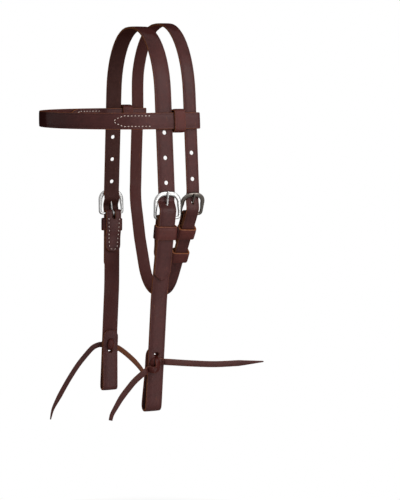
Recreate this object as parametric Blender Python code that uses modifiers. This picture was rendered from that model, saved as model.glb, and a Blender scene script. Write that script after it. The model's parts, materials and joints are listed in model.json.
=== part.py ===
"""Western headstall with browband, throatlatch and tied bit ends.

Metres, +Z up. +X is the horse's left (near) side and -Y is towards its nose. The origin is the
middle of the crown's underside, where the headstall hangs on the poll. The crown has slipped a
little to the off side, as in use, so the off buckle hangs lower by CROWN_SLIP.
"""

import math

import bmesh
import bpy
from mathutils import Matrix, Vector

# Leather stock
CROWN_WIDTH = 0.0190
THROAT_WIDTH = 0.0146
BAND_WIDTH = 0.0180
STRAP_THICK = 0.0030
BAND_THICK = 0.0026
KEEPER_THICK = 0.0024
EDGE_ROUND = 0.0004
LAYER_GAP = 0.0003

# Arches over the poll
CROWN_HALF_SPAN = 0.0935
CROWN_ARCH_RISE = 0.0800
THROAT_ARCH_RISE = 0.0860
THROAT_LIFT = 0.0040
POLL_PAD_LENGTH = 0.0120
SPLAY = math.radians(6.3)
THROAT_SET_BACK = 0.0308

# Buckled ends
CROWN_SLIP = 0.0143
CHEEK_BUCKLE_DROP = 0.1808
CHEEK_FRAME_TILT = math.radians(3.0)
CHEEK_SLANT = math.radians(10.5)
THROAT_BUCKLE_DROP = 0.1815
THROAT_FRAME_TILT = math.radians(28.0)
THROAT_SLANT = math.radians(34.0)
LEAN = math.tan(math.radians(3.0))
NEAR_SLIDE = -0.0023
OFF_SLIDE = 0.0023
THROAT_SLIDE = -0.0015
SLIDE_FADE = 0.1500
BEND_RADIUS = 0.0045
SOFT_BEND_RADIUS = 0.0100
CHEEK_CROSSING_SHARES = (0.66, 0.40)
THROAT_CROSSING_SHARES = (0.77, 0.50)

# Billets and holes
CROWN_BILLET_LENGTH = 0.0700
THROAT_BILLET_LENGTH = 0.0700
HOLE_DIAMETER = 0.0054
CROWN_HOLE_PITCH = 0.0276
THROAT_HOLE_PITCH = 0.0290
CROWN_HOLE_COUNT = 3
THROAT_HOLE_COUNT = 2
TONGUE_HOLE_LENGTH = 0.0082
TIP_LENGTH = 0.0080
POINT_TIP_SHARES = ((0.0, 0.10), (0.5, 0.60), (1.0, 1.0))
ROUND_END_LENGTH = 0.0070
ROUND_END_SHARES = ((0.0, 0.30), (0.12, 0.60), (0.35, 0.84), (0.65, 0.96), (1.0, 1.0))

# Buckles
CHEEK_FRAME_WIDTH = 0.0318
CHEEK_FRAME_HEIGHT = 0.0310
THROAT_FRAME_WIDTH = 0.0282
THROAT_FRAME_HEIGHT = 0.0296
FRAME_THICK = 0.0028
FRAME_EDGE_ROUND = 0.0009
TOP_BAR_WIDTH = 0.0042
SIDE_BAR_WIDTH = 0.0036
HEEL_BAR_WIDTH = 0.0030
FRAME_CROWN_SHARE = 0.40
FRAME_FOOT_SHARE = 0.14
HEEL_REACH = 0.0018
TONGUE_WIRE = 0.0022
TONGUE_OVERHANG = 0.0016
TONGUE_SLOT_WIDTH = 0.0044
TONGUE_SLOT_DROP = 0.0060

# Cheeks
CHEEK_UPPER_LENGTH = 0.0950
CHEEK_LOWER_LEAN = math.radians(1.3)
NEAR_CHEEK_DROP = 0.2215
OFF_CHEEK_DROP = 0.2175
CHEEK_BEND_RADIUS = 0.1500
FOLD_FLAP_LENGTH = 0.0475
FOLD_STEP = 0.0070
CHEEK_KEEPER_WIDTH = 0.0152
NEAR_KEEPER_DROP = 0.0148
OFF_KEEPER_DROP = 0.0135
KEEPER_CLEARANCE = 0.0009

# Bit loops and their ties
NEAR_LOOP_OPENING = 0.0125
OFF_LOOP_OPENING = 0.0085
BIT_LOOP_FLAT = 0.0034
BIT_FLAP_LENGTH = 0.0740
BIT_LOOP_CLOSE = 0.0440
NEAR_LACE_LIFT = 0.0530
OFF_LACE_LIFT = 0.0490
LACE_HOLE_SPACING = 0.0118
LACE_HOLE_DIAMETER = 0.0056
KNOT_WIDTH = 0.0084
KNOT_RADIUS = 0.0030
KNOT_DROP = 0.0022
KNOT_STRAND_WIDTH = 0.0036
KNOT_STRAND_THICK = 0.0021
KNOT_STEPS = 10
KNOT_CURVE_STEPS = 2
TAIL_GAP = 0.0008
KNOT_TURN = math.radians(310.0)
LACE_WIDTH = 0.0064
LACE_THICK = 0.0020
LACE_NECK_LENGTH = 0.0090
LACE_POINT_LENGTH = 0.0340
LACE_TIP_WIDTH = 0.0012
LACE_TAPER_SHARE = 0.88

# Throatlatch loop
THROAT_DEPTH = 0.3105
THROAT_BOTTOM_SHARE = 0.97
THROAT_SHOULDER_DROP = 0.2010
THROAT_SHOULDER_RADIUS = 0.0800
THROAT_FLAP_LENGTH = 0.0440
THROAT_KEEPER_WIDTH = 0.0140
FIXED_KEEPER_DROP = 0.0215
SLIDING_KEEPER_DROP = 0.0560

# Browband
BAND_DROP = 0.1020
BAND_REACH = 0.1032
BAND_SLACK = 0.0010
BAND_FOLD_CLEARANCE = 0.0006
BAND_JOIN_LENGTH = 0.0080
BAND_LAP_LENGTH = 0.0400
BAND_TIP_LENGTH = 0.0150
BAND_TIP_SHARES = ((0.0, 0.16), (0.25, 0.45), (0.6, 0.82), (1.0, 1.0))
BAND_KEEPER_WIDTH = 0.0124
BAND_KEEPER_LIFT = 0.0016

# Free tails of the ties beyond their knots, as Y and Z, chosen by hand
NEAR_REAR_TAIL = ((0.0040, -0.3716), (0.0316, -0.3751), (0.0598, -0.3779), (0.0883, -0.3786),
                  (0.1191, -0.3788))
NEAR_FRONT_TAIL = ((-0.0240, -0.3814), (-0.0351, -0.3900), (-0.0442, -0.3999), (-0.0516, -0.4091),
                   (-0.0580, -0.4192), (-0.0622, -0.4265), (-0.0640, -0.4330))
OFF_FRONT_TAIL = ((-0.0195, -0.3850), (-0.0278, -0.3883), (-0.0379, -0.3984), (-0.0480, -0.4104),
                  (-0.0602, -0.4283), (-0.0724, -0.4489), (-0.0794, -0.4621), (-0.0826, -0.4746))
OFF_REAR_TAIL = ((0.0045, -0.3904), (0.0146, -0.3979), (0.0268, -0.4096), (0.0360, -0.4212),
                 (0.0438, -0.4342))

ARC_STEP = math.radians(10.0)
ARCH_STEPS = 12
CUT_OVERRUN = 0.0040
NEAR, OFF = 1, -1

LEATHER = ("latigo_leather", (0.090, 0.028, 0.027, 1.0), 0.45, 0.0)
KEEPER_LEATHER = ("keeper_leather", (0.105, 0.026, 0.022, 1.0), 0.50, 0.0)
LACE_LEATHER = ("lace_leather", (0.085, 0.026, 0.025, 1.0), 0.60, 0.0)
STEEL = ("polished_steel", (0.62, 0.61, 0.59, 1.0), 0.14, 1.0)


def clear_scene():
    """Removes what the file opened with."""
    for obj in list(bpy.data.objects):
        bpy.data.objects.remove(obj, do_unlink=True)


def collection_named(name):
    """A new collection in the scene."""
    made = bpy.data.collections.new(name)
    bpy.context.scene.collection.children.link(made)
    return made


def material(spec):
    """The Principled material of this name, made once."""
    name, colour, roughness, metallic = spec
    made = bpy.data.materials.get(name)
    if made is None:
        made = bpy.data.materials.new(name)
        made.use_nodes = True
        made.diffuse_color = colour
        shader = made.node_tree.nodes["Principled BSDF"]
        shader.inputs["Base Color"].default_value = colour
        shader.inputs["Roughness"].default_value = roughness
        shader.inputs["Metallic"].default_value = metallic
    return made


def link(name, data, spec, group):
    """An object of this data, with its material, in the group."""
    obj = bpy.data.objects.new(name, data)
    obj.data.materials.append(material(spec))
    group.objects.link(obj)
    return obj


def frame_matrix(origin, x_axis, y_axis):
    """Places a flat outline: its x and y along the given directions, its depth along their normal."""
    x_axis = x_axis.normalized()
    z_axis = x_axis.cross(y_axis).normalized()
    y_axis = z_axis.cross(x_axis)
    turn = Matrix((x_axis, y_axis, z_axis)).transposed().to_4x4()
    return Matrix.Translation(origin) @ turn


def rounded(corners):
    """A flat line through (point, radius) corners, each turned into an arc of its radius."""
    line = []
    for index, (point, radius) in enumerate(corners):
        if radius == 0 or index in (0, len(corners) - 1):
            line.append(point)
            continue
        back = (corners[index - 1][0] - point).normalized()
        ahead = (corners[index + 1][0] - point).normalized()
        half = back.angle(ahead) / 2
        turn = math.pi - 2 * half
        if turn < ARC_STEP / 10:
            line.append(point)
            continue
        centre = point + (back + ahead).normalized() * (radius / math.sin(half))
        start = point + back * (radius / math.tan(half)) - centre
        sense = math.copysign(1.0, back.x * ahead.y - back.y * ahead.x)
        steps = max(2, math.ceil(turn / ARC_STEP))
        for step in range(steps + 1):
            angle = -sense * turn * step / steps
            line.append(centre + Vector((start.x * math.cos(angle) - start.y * math.sin(angle),
                                         start.x * math.sin(angle) + start.y * math.cos(angle))))
    return line


def lengths(line):
    """Distance along the line to each of its points."""
    along = [0.0]
    for one, other in zip(line, line[1:]):
        along.append(along[-1] + (other - one).length)
    return along


def place_on(line, distance):
    """Point and direction at this distance along the line."""
    along = lengths(line)
    for index in range(len(line) - 1):
        if distance <= along[index + 1] or index == len(line) - 2:
            span = along[index + 1] - along[index]
            share = (distance - along[index]) / span
            direction = (line[index + 1] - line[index]).normalized()
            return line[index].lerp(line[index + 1], share), direction


def table_value(shares, at):
    """Value at this place in a table of (place, value) shares."""
    for (low, low_value), (high, high_value) in zip(shares, shares[1:]):
        if at <= high:
            return low_value + (high_value - low_value) * (at - low) / (high - low)
    return shares[-1][1]


def ribbon(name, line, across, width, thick, spec, group, start=None, end=None):
    """A strap: its centre line swept across its width, then given its thickness and round edges.

    across gives the width's direction at a point. start and end are (length, shares) of a shaped end.
    """
    along = lengths(line)
    total = along[-1]
    stops = set(along)
    for shaped, place in ((start, lambda d: d), (end, lambda d: total - d)):
        if shaped:
            stops |= {place(shaped[0] * share) for share, _ in shaped[1]}
    mesh = bpy.data.meshes.new(name)
    grid = bmesh.new()
    rows = []
    last = -math.inf
    for stop in sorted(stops):
        if stop - last < LAYER_GAP / 2:
            continue
        last = stop
        share = 1.0
        if start and stop < start[0]:
            share = table_value(start[1], stop / start[0])
        if end and total - stop < end[0]:
            share = table_value(end[1], (total - stop) / end[0])
        point, _ = place_on(line, stop)
        side = across(point) * (share * width / 2)
        rows.append((grid.verts.new(point - side), grid.verts.new(point + side)))
    for (left, right), (next_left, next_right) in zip(rows, rows[1:]):
        grid.faces.new((left, right, next_right, next_left))
    grid.to_mesh(mesh)
    grid.free()
    obj = link(name, mesh, spec, group)
    shell = obj.modifiers.new("thickness", "SOLIDIFY")
    shell.thickness = thick
    shell.offset = 0.0
    shell.use_even_offset = True
    edge = obj.modifiers.new("rounded_edges", "BEVEL")
    edge.width = EDGE_ROUND
    edge.segments = 1
    edge.limit_method = "ANGLE"
    edge.angle_limit = math.radians(50)
    return obj


def flat_loop(name, outer, inner, depth, edge, spec, group):
    """A flat outline with a hole in it, given its depth and round edges. The lists hold (x, y)."""
    curve = bpy.data.curves.new(name, "CURVE")
    curve.dimensions = "2D"
    curve.fill_mode = "BOTH"
    curve.extrude = depth / 2 - edge
    curve.bevel_depth = edge
    curve.bevel_resolution = 1
    curve.offset = -edge
    for outline in (outer, inner):
        spline = curve.splines.new("POLY")
        spline.points.add(len(outline) - 1)
        for point, (x, y) in zip(spline.points, outline):
            point.co = (x, y, 0.0, 1.0)
        spline.use_cyclic_u = True
    return link(name, curve, spec, group)


def rounded_box(half_width, low, high, low_radius, high_radius, steps=5):
    """Outline of a box from low to high, its lower and upper corners rounded by their own radii."""
    outline = []
    for x_sense, height, y_sense, radius, start in (
        (1, high, -1, high_radius, 0.0), (-1, high, -1, high_radius, 0.5),
        (-1, low, 1, low_radius, 1.0), (1, low, 1, low_radius, 1.5),
    ):
        centre = (x_sense * (half_width - radius), height + y_sense * radius)
        for step in range(steps + 1):
            angle = math.pi * (start + 0.5 * step / steps)
            outline.append((centre[0] + radius * math.cos(angle), centre[1] + radius * math.sin(angle)))
    return outline


def wire(name, line, thick, spec, group):
    """A bent wire with closed ends."""
    curve = bpy.data.curves.new(name, "CURVE")
    curve.dimensions = "3D"
    curve.bevel_depth = thick / 2
    curve.bevel_resolution = 2
    curve.use_fill_caps = True
    spline = curve.splines.new("POLY")
    spline.points.add(len(line) - 1)
    for point, place in zip(spline.points, line):
        point.co = (*place, 1.0)
    return link(name, curve, spec, group)


def smooth(obj):
    """Makes the object a plain mesh, with round stretches shaded smooth."""
    graph = bpy.context.evaluated_depsgraph_get()
    mesh = bpy.data.meshes.new_from_object(obj.evaluated_get(graph))
    if obj.type != "MESH":
        made = bpy.data.objects.new(obj.name, mesh)
        made.matrix_world = obj.matrix_world.copy()
        group = obj.users_collection[0]
        name = obj.name
        bpy.data.objects.remove(obj, do_unlink=True)
        group.objects.link(made)
        made.name = name
        obj = made
    else:
        obj.modifiers.clear()
        obj.data = mesh
    welded = bmesh.new()
    welded.from_mesh(obj.data)
    bmesh.ops.remove_doubles(welded, verts=welded.verts, dist=EDGE_ROUND / 100)
    welded.to_mesh(obj.data)
    welded.free()
    for polygon in obj.data.polygons:
        polygon.use_smooth = True
    obj.data.set_sharp_from_angle(angle=math.radians(35))
    return obj


def cut(obj, cutter):
    """Cuts the cutter's shape out of the object."""
    knife = obj.modifiers.new("cut_" + cutter.name, "BOOLEAN")
    knife.operation = "DIFFERENCE"
    knife.solver = "EXACT"
    knife.object = cutter


def cutter_of(name, shape, group):
    """A cutter object of this shape, which isn't part of the headstall."""
    mesh = bpy.data.meshes.new(name)
    shape.to_mesh(mesh)
    shape.free()
    cutter = bpy.data.objects.new(name, mesh)
    cutter.hide_render = True
    cutter.display_type = "WIRE"
    group.objects.link(cutter)
    return cutter


def drills(name, holes, group):
    """One cutter for a strap's holes. Each is (centre, direction, along, length, width, depth)."""
    shape = bmesh.new()
    for centre, direction, along, length, width, depth in holes:
        along = (along - direction * along.dot(direction)).normalized()
        turn = frame_matrix(centre, along, direction.cross(along))
        made = bmesh.ops.create_cone(shape, cap_ends=True, segments=16, radius1=width / 2,
                                     radius2=width / 2, depth=depth)
        for vertex in made["verts"]:
            if length > width:
                vertex.co.x += math.copysign((length - width) / 2, vertex.co.x)
            vertex.co = turn @ vertex.co
    return cutter_of(name, shape, group)


def box_cutter(name, matrix, size, group):
    """A box cutter of this size, placed by its middle."""
    shape = bmesh.new()
    bmesh.ops.create_cube(shape, size=1.0)
    for vertex in shape.verts:
        vertex.co = matrix @ (vertex.co * Vector(size))
    return cutter_of(name, shape, group)


class Arch:
    """Half of a strap's arch over the poll, in the plane of sideways and up, and its splayed leg."""

    def __init__(self, rise, lift, half_span=None, leg=None):
        self.pad = POLL_PAD_LENGTH / 2
        self.rise = rise
        self.top = lift + STRAP_THICK / 2
        normal = Vector((math.cos(SPLAY), math.sin(SPLAY)))
        if leg is None:
            self.half = half_span - self.pad
            support = math.hypot(self.half * normal.x, rise * normal.y)
            leg = normal.dot(Vector((self.pad, self.top - rise))) + support
        else:
            support = leg - normal.dot(Vector((self.pad, self.top - rise)))
            self.half = math.sqrt(support ** 2 - (rise * normal.y) ** 2) / normal.x
        self.leg = leg
        self.normal = normal

    def line(self):
        """Centre line from the middle of the pad out to the top of the leg."""
        end = math.atan2(self.half, self.rise * math.tan(SPLAY))
        points = [Vector((0.0, self.top))]
        for step in range(ARCH_STEPS + 1):
            angle = end * step / ARCH_STEPS
            points.append(Vector((self.pad + self.half * math.sin(angle),
                                  self.top - self.rise * (1 - math.cos(angle)))))
        return points

    def leg_at(self, height):
        """Point of the leg's centre line at this height."""
        return Vector(((self.leg - self.normal.y * height) / self.normal.x, height))


class BuckledEnd:
    """Where a billet meets a buckle: places in the plane of sideways and up, for one side.

    heel is the middle of the buckle's heel bar, up points from it to the top bar and down runs
    along the strap that is folded round it.
    """

    def __init__(self, leg, frame_height, tilt, slant, crossing_shares, slide):
        self.reach = frame_height - TOP_BAR_WIDTH / 2 - HEEL_BAR_WIDTH / 2
        self.up = Vector((math.sin(tilt), math.cos(tilt)))
        self.out = Vector((math.cos(tilt), -math.sin(tilt)))
        self.down = Vector((-math.sin(slant), -math.cos(slant)))
        self.crossing_shares = crossing_shares
        self.slide = slide
        self.face = Vector((math.cos(slant), -math.sin(slant)))
        self.behind = FRAME_THICK / 2 + LAYER_GAP + STRAP_THICK / 2
        self.heel = leg + self.out * self.behind - self.up * self.reach
        self.fold = HEEL_REACH + LAYER_GAP + STRAP_THICK / 2
        self.lap = self.fold + STRAP_THICK + LAYER_GAP

    def on_frame(self, out, up):
        """A place from the heel bar, outward and up along the frame."""
        return self.heel + self.out * out + self.up * up

    def on_strap(self, face, down):
        """A place from the heel bar, out of the folded strap's face and down along it."""
        return self.heel + self.face * face + self.down * down

    def billet(self, length):
        """Corners of the billet: behind the top bar, across the frame and down over the fold."""
        return [
            (self.on_frame(-self.behind, self.reach), SOFT_BEND_RADIUS),
            (self.on_frame(-self.behind, self.reach * self.crossing_shares[0]), BEND_RADIUS),
            (self.on_strap(self.lap, -self.reach * self.crossing_shares[1]), BEND_RADIUS),
            (self.on_strap(self.lap, 0.0), 0),
            (self.on_strap(self.lap, length), 0),
        ]

    def flap(self, length, keeper_drop, keeper_width):
        """Corners of the folded end, from its own end up to the heel bar."""
        level = keeper_drop + keeper_width / 2 + KEEPER_CLEARANCE
        beside = self.fold - STRAP_THICK - KEEPER_THICK - 2 * LAYER_GAP
        tight = self.fold - STRAP_THICK - LAYER_GAP
        return [
            (self.on_strap(tight, length), 0),
            (self.on_strap(tight, level + FOLD_STEP), FOLD_STEP),
            (self.on_strap(beside, level), FOLD_STEP),
            (self.on_strap(-self.fold, 0.0), 0),
        ]

    def over_heel(self):
        """The turn of the fold over the heel bar, without its two ends."""
        turn = [self.heel + self.face * (-self.fold * math.cos(math.pi * step / 8))
                - self.down * (self.fold * math.sin(math.pi * step / 8)) for step in range(1, 8)]
        return turn


def eased(share):
    """A smooth step from 0 to 1."""
    share = max(0.0, min(1.0, share))
    return share * share * (3 - 2 * share)


def leaned(side, set_back, end):
    """Gives a flat place its depth: straps lean forward below their buckle.

    The folded strap lies at one end of the heel bar, by the buckle's slide, and comes back in line
    further down.
    """
    def place(point):
        below = end.heel.y - point.y
        aside = end.slide * min(1 - eased(below / SLIDE_FADE), eased(1 + below / end.reach))
        return Vector((side * point.x, set_back + aside - LEAN * max(0.0, below), point.y))
    return place


def across_y(_point):
    """The width of a strap that hangs flat to the side of the head."""
    return Vector((0.0, 1.0, 0.0))


CROWN_ARCH = Arch(CROWN_ARCH_RISE, 0.0, half_span=CROWN_HALF_SPAN)
THROAT_ARCH = Arch(THROAT_ARCH_RISE, THROAT_LIFT, leg=CROWN_ARCH.leg)


def side_drop(side):
    """How far this side hangs below the near side."""
    return CROWN_SLIP if side == OFF else 0.0


def cheek_end(side):
    """Where the crown meets this side's cheek buckle."""
    leg = CROWN_ARCH.leg_at(-CHEEK_BUCKLE_DROP - side_drop(side))
    slide = OFF_SLIDE if side == OFF else NEAR_SLIDE
    return BuckledEnd(leg, CHEEK_FRAME_HEIGHT, CHEEK_FRAME_TILT, CHEEK_SLANT, CHEEK_CROSSING_SHARES, slide)


def throat_end():
    """Where the throatlatch meets its own buckle."""
    leg = THROAT_ARCH.leg_at(-THROAT_BUCKLE_DROP)
    return BuckledEnd(leg, THROAT_FRAME_HEIGHT, THROAT_FRAME_TILT, THROAT_SLANT, THROAT_CROSSING_SHARES,
                      THROAT_SLIDE)


def leg_line(arch, end, billet_length):
    """Flat centre line of one leg: pad, arch, splayed leg and billet."""
    corners = [(point, 0) for point in arch.line()]
    return rounded(corners + end.billet(billet_length))


def billet_holes(leg, place, end, count, pitch):
    """The punched holes of one leg: a long one for the tongue and round ones above it."""
    tongue_out = (FRAME_THICK + TONGUE_WIRE) / 2
    along = lengths(leg)
    for index, (one, other) in enumerate(zip(leg, leg[1:])):
        before = (one - end.heel).dot(end.out) - tongue_out
        after = (other - end.heel).dot(end.out) - tongue_out
        if before < 0 <= after and 0 < (one - end.heel).dot(end.up) < end.reach:
            tongue = along[index] + (other - one).length * before / (before - after)
            break
    holes = []
    for index in range(count + 1):
        point, direction = place_on(leg, tongue - index * pitch)
        normal = Vector((-direction.y, direction.x))
        centre = place(point)
        drill = (place(point + normal) - centre).normalized()
        run = (place(point + direction) - centre).normalized()
        size = TONGUE_HOLE_LENGTH if index == 0 else HOLE_DIAMETER
        holes.append((centre, drill, run, size, HOLE_DIAMETER, STRAP_THICK + CUT_OVERRUN / 2))
    return holes


def crown_strap(group, cutters):
    """The crown: one strap from billet tip to billet tip, punched for both cheek buckles."""
    halves = []
    holes = []
    for side in (NEAR, OFF):
        end = cheek_end(side)
        place = leaned(side, 0.0, end)
        leg = leg_line(CROWN_ARCH, end, CROWN_BILLET_LENGTH)
        holes += billet_holes(leg, place, end, CROWN_HOLE_COUNT, CROWN_HOLE_PITCH)
        halves.append([place(point) for point in leg])
    near, off = halves
    line = near[:0:-1] + off[1:]
    strap = ribbon("crown_strap", line, across_y, CROWN_WIDTH, STRAP_THICK, LEATHER, group,
                   start=(TIP_LENGTH, POINT_TIP_SHARES), end=(TIP_LENGTH, POINT_TIP_SHARES))
    cut(strap, drills("crown_holes", holes, cutters))
    return smooth(strap)


def lower_cheek(side, end):
    """Foot of the cheek's centre line, where it turns into the bit loop, and the bend above it."""
    drop = OFF_CHEEK_DROP if side == OFF else NEAR_CHEEK_DROP
    bend = end.on_strap(end.fold, CHEEK_UPPER_LENGTH)
    low = end.heel.y - drop + STRAP_THICK / 2
    return Vector((bend.x - math.tan(CHEEK_LOWER_LEAN) * (bend.y - low), low)), bend


def bit_loop_corners(side, end):
    """Corners of the lower cheek, round the bit loop and up its inner flap."""
    foot, bend = lower_cheek(side, end)
    opening = OFF_LOOP_OPENING if side == OFF else NEAR_LOOP_OPENING
    inside = STRAP_THICK + opening
    close = STRAP_THICK + LAYER_GAP

    def beside(height, offset):
        return Vector((foot.x + math.tan(CHEEK_LOWER_LEAN) * (height - foot.y) - offset, height))

    inner = Vector((foot.x - inside, foot.y))
    closing = beside(foot.y + BIT_LOOP_CLOSE, close)
    rise = (closing - inner).angle(Vector((1.0, 0.0)))
    run = (inside - BIT_LOOP_FLAT) / 2
    return [
        (bend, CHEEK_BEND_RADIUS),
        (foot, run / math.tan((math.pi / 2 - CHEEK_LOWER_LEAN) / 2)),
        (inner, run * math.tan(rise / 2)),
        (closing, 2 * opening),
        (beside(foot.y - STRAP_THICK / 2 + BIT_FLAP_LENGTH, close), 0),
    ]


def cheek_strap(side, name, keeper_drop, group, cutters):
    """A cheek: folded round the buckle's heel bar at the top and round the bit loop below."""
    end = cheek_end(side)
    place = leaned(side, 0.0, end)
    flap = end.flap(FOLD_FLAP_LENGTH, keeper_drop, CHEEK_KEEPER_WIDTH)
    fold = [(point, 0) for point in end.over_heel()]
    main = [(end.on_strap(end.fold, 0.0), 0)]
    line = [place(point) for point in rounded(flap + fold + main + bit_loop_corners(side, end))]
    strap = ribbon(name, line, across_y, CROWN_WIDTH, STRAP_THICK, LEATHER, group,
                   start=(ROUND_END_LENGTH, ROUND_END_SHARES), end=(ROUND_END_LENGTH, ROUND_END_SHARES))
    cut(strap, tongue_slot(name + "_slot", side, end, 0.0, cutters))
    holes = []
    for rise in (0.0, LACE_HOLE_SPACING):
        middle = lace_hole(side, rise)
        depth = 2 * STRAP_THICK + LAYER_GAP + CUT_OVERRUN
        holes.append((middle, Vector((1.0, 0.0, 0.0)), Vector((0.0, 0.0, 1.0)),
                      LACE_HOLE_DIAMETER, LACE_HOLE_DIAMETER, depth))
    cut(strap, drills(name + "_lace_holes", holes, cutters))
    return smooth(strap)


def tongue_slot(name, side, end, set_back, group):
    """Cutter for the slot that lets the tongue's eye round the heel bar through the fold."""
    reach = end.fold + STRAP_THICK / 2 + LAYER_GAP
    middle = end.on_strap(0.0, (TONGUE_SLOT_DROP - reach) / 2)
    face = Vector((side * end.face.x, 0.0, end.face.y))
    down = Vector((side * end.down.x, 0.0, end.down.y))
    matrix = frame_matrix(Vector((side * middle.x, set_back + end.slide, middle.y)), face, down)
    return box_cutter(name, matrix, (2 * reach, TONGUE_SLOT_DROP + reach, TONGUE_SLOT_WIDTH), group)


def lace_hole(side, rise):
    """Middle of a lace hole, between the cheek and its flap. rise is its height above the lower one."""
    end = cheek_end(side)
    foot, _ = lower_cheek(side, end)
    lift = OFF_LACE_LIFT if side == OFF else NEAR_LACE_LIFT
    height = foot.y - STRAP_THICK / 2 + lift + rise
    across = foot.x + math.tan(CHEEK_LOWER_LEAN) * (height - foot.y) - (STRAP_THICK + LAYER_GAP) / 2
    return leaned(side, 0.0, end)(Vector((across, height)))


def buckle(side, names, end, width, height, set_back, group):
    """A horseshoe frame and its tongue, both with their origin on the heel bar's axis."""
    frame_name, tongue_name = names
    top = end.reach + TOP_BAR_WIDTH / 2
    low = -HEEL_BAR_WIDTH / 2
    outer = rounded_box(width / 2, low, top, FRAME_FOOT_SHARE * height, FRAME_CROWN_SHARE * height, 6)
    inner = rounded_box(width / 2 - SIDE_BAR_WIDTH, low + HEEL_BAR_WIDTH, top - TOP_BAR_WIDTH,
                        FRAME_FOOT_SHARE * height / 3, FRAME_CROWN_SHARE * height - SIDE_BAR_WIDTH, 6)
    origin = Vector((side * end.heel.x, set_back, end.heel.y))
    up = Vector((side * end.up.x, 0.0, end.up.y))
    frame = flat_loop(frame_name, outer, inner, FRAME_THICK, FRAME_EDGE_ROUND, STEEL, group)
    frame.matrix_world = frame_matrix(origin, Vector((0.0, side, 0.0)), up)
    eye = HEEL_REACH + LAYER_GAP + TONGUE_WIRE / 2
    rest = FRAME_THICK / 2 + LAYER_GAP + TONGUE_WIRE / 2
    aside = side * end.slide
    line = [Vector((aside, -eye * math.cos(math.pi * step / 8), eye * math.sin(math.pi * step / 8)))
            for step in range(-7, 5)]
    line.append(Vector((0.0, end.reach + TOP_BAR_WIDTH / 2 + TONGUE_OVERHANG, rest)))
    tongue = wire(tongue_name, line, TONGUE_WIRE, STEEL, group)
    tongue.matrix_world = frame.matrix_world
    return [smooth(frame), smooth(tongue)]


def keeper_ring(name, side, end, place, drop, width, strap_width, layers, group):
    """A keeper round the cheek and billet. layers are the faces it lies between, outward and inward."""
    inward, outward = layers
    half = strap_width / 2 + KEEPER_CLEARANCE
    corner = KEEPER_THICK
    outer = rounded_box(half + KEEPER_THICK, inward - KEEPER_THICK, outward + KEEPER_THICK,
                        corner + KEEPER_THICK / 3, corner + KEEPER_THICK / 3, 4)
    inner = rounded_box(half, inward, outward, corner / 3, corner / 3, 4)
    ring = flat_loop(name, outer, inner, width, EDGE_ROUND, KEEPER_LEATHER, group)
    middle = place(end.on_strap(0.0, drop))
    down = (place(end.on_strap(0.0, drop + width)) - middle).normalized()
    face = (place(end.on_strap(width, drop)) - middle).normalized()
    ring.matrix_world = frame_matrix(middle, down.cross(face), face)
    return smooth(ring)


def keeper_layers(end):
    """Inner and outer faces of the gap a keeper leaves for strap and billet."""
    inward = end.fold - STRAP_THICK / 2 - LAYER_GAP
    outward = end.lap + STRAP_THICK / 2 + LAYER_GAP
    return inward, outward


def throat_corners(end):
    """Flat corners of the throatlatch, from its folded end round the jaw to the far side's leg."""
    shoulder = THROAT_ARCH.leg_at(-THROAT_SHOULDER_DROP)
    bottom = -THROAT_DEPTH + STRAP_THICK / 2
    run = math.tan(THROAT_SLANT)
    start = end.on_strap(end.fold, 0.0)
    near_foot = Vector((start.x - (start.y - bottom) * run, bottom))
    off_foot = Vector((-shoulder.x + (shoulder.y - bottom) * run, bottom))
    widest = (near_foot.x - off_foot.x) / 2 / math.tan((math.pi / 2 - THROAT_SLANT) / 2)
    radius = THROAT_BOTTOM_SHARE * widest
    return [
        (start, 0),
        (near_foot, radius),
        (off_foot, radius),
        (Vector((-shoulder.x, shoulder.y)), THROAT_SHOULDER_RADIUS),
    ]


def throatlatch_strap(group, cutters):
    """The throatlatch: one strap over the poll and under the throat, buckled on the near side."""
    end = throat_end()
    place = leaned(NEAR, THROAT_SET_BACK, end)
    flap = end.flap(THROAT_FLAP_LENGTH, FIXED_KEEPER_DROP, THROAT_KEEPER_WIDTH)
    fold = [(point, 0) for point in end.over_heel()]
    arch = THROAT_ARCH.line()
    far_leg = [(Vector((-point.x, point.y)), 0) for point in arch[:0:-1]]
    near_leg = leg_line(THROAT_ARCH, end, THROAT_BILLET_LENGTH)
    under = rounded(flap + fold + throat_corners(end) + far_leg)
    line = [place(point) for point in under + near_leg[1:]]
    strap = ribbon("throatlatch_strap", line, across_y, THROAT_WIDTH, STRAP_THICK, LEATHER, group,
                   start=(ROUND_END_LENGTH, ROUND_END_SHARES), end=(TIP_LENGTH, POINT_TIP_SHARES))
    cut(strap, tongue_slot("throat_slot", NEAR, end, THROAT_SET_BACK, cutters))
    holes = billet_holes(near_leg, place, end, THROAT_HOLE_COUNT, THROAT_HOLE_PITCH)
    cut(strap, drills("throat_holes", holes, cutters))
    return smooth(strap)


def band_outer():
    """Flat centre line of the browband's outer layer, near rear fold to off rear fold, as X and Y."""
    half = CROWN_ARCH.leg_at(-BAND_DROP).x + STRAP_THICK / 2 + BAND_SLACK + BAND_THICK / 2
    front = -CROWN_WIDTH / 2
    rear = THROAT_SET_BACK + THROAT_WIDTH / 2 - STRAP_THICK / 2 + BAND_FOLD_CLEARANCE
    bow = [Vector((half * math.cos(math.pi * step / 36), front - BAND_REACH * math.sin(math.pi * step / 36)))
           for step in range(37)]
    return [Vector((half, rear))] + bow + [Vector((-half, rear))], half


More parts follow.
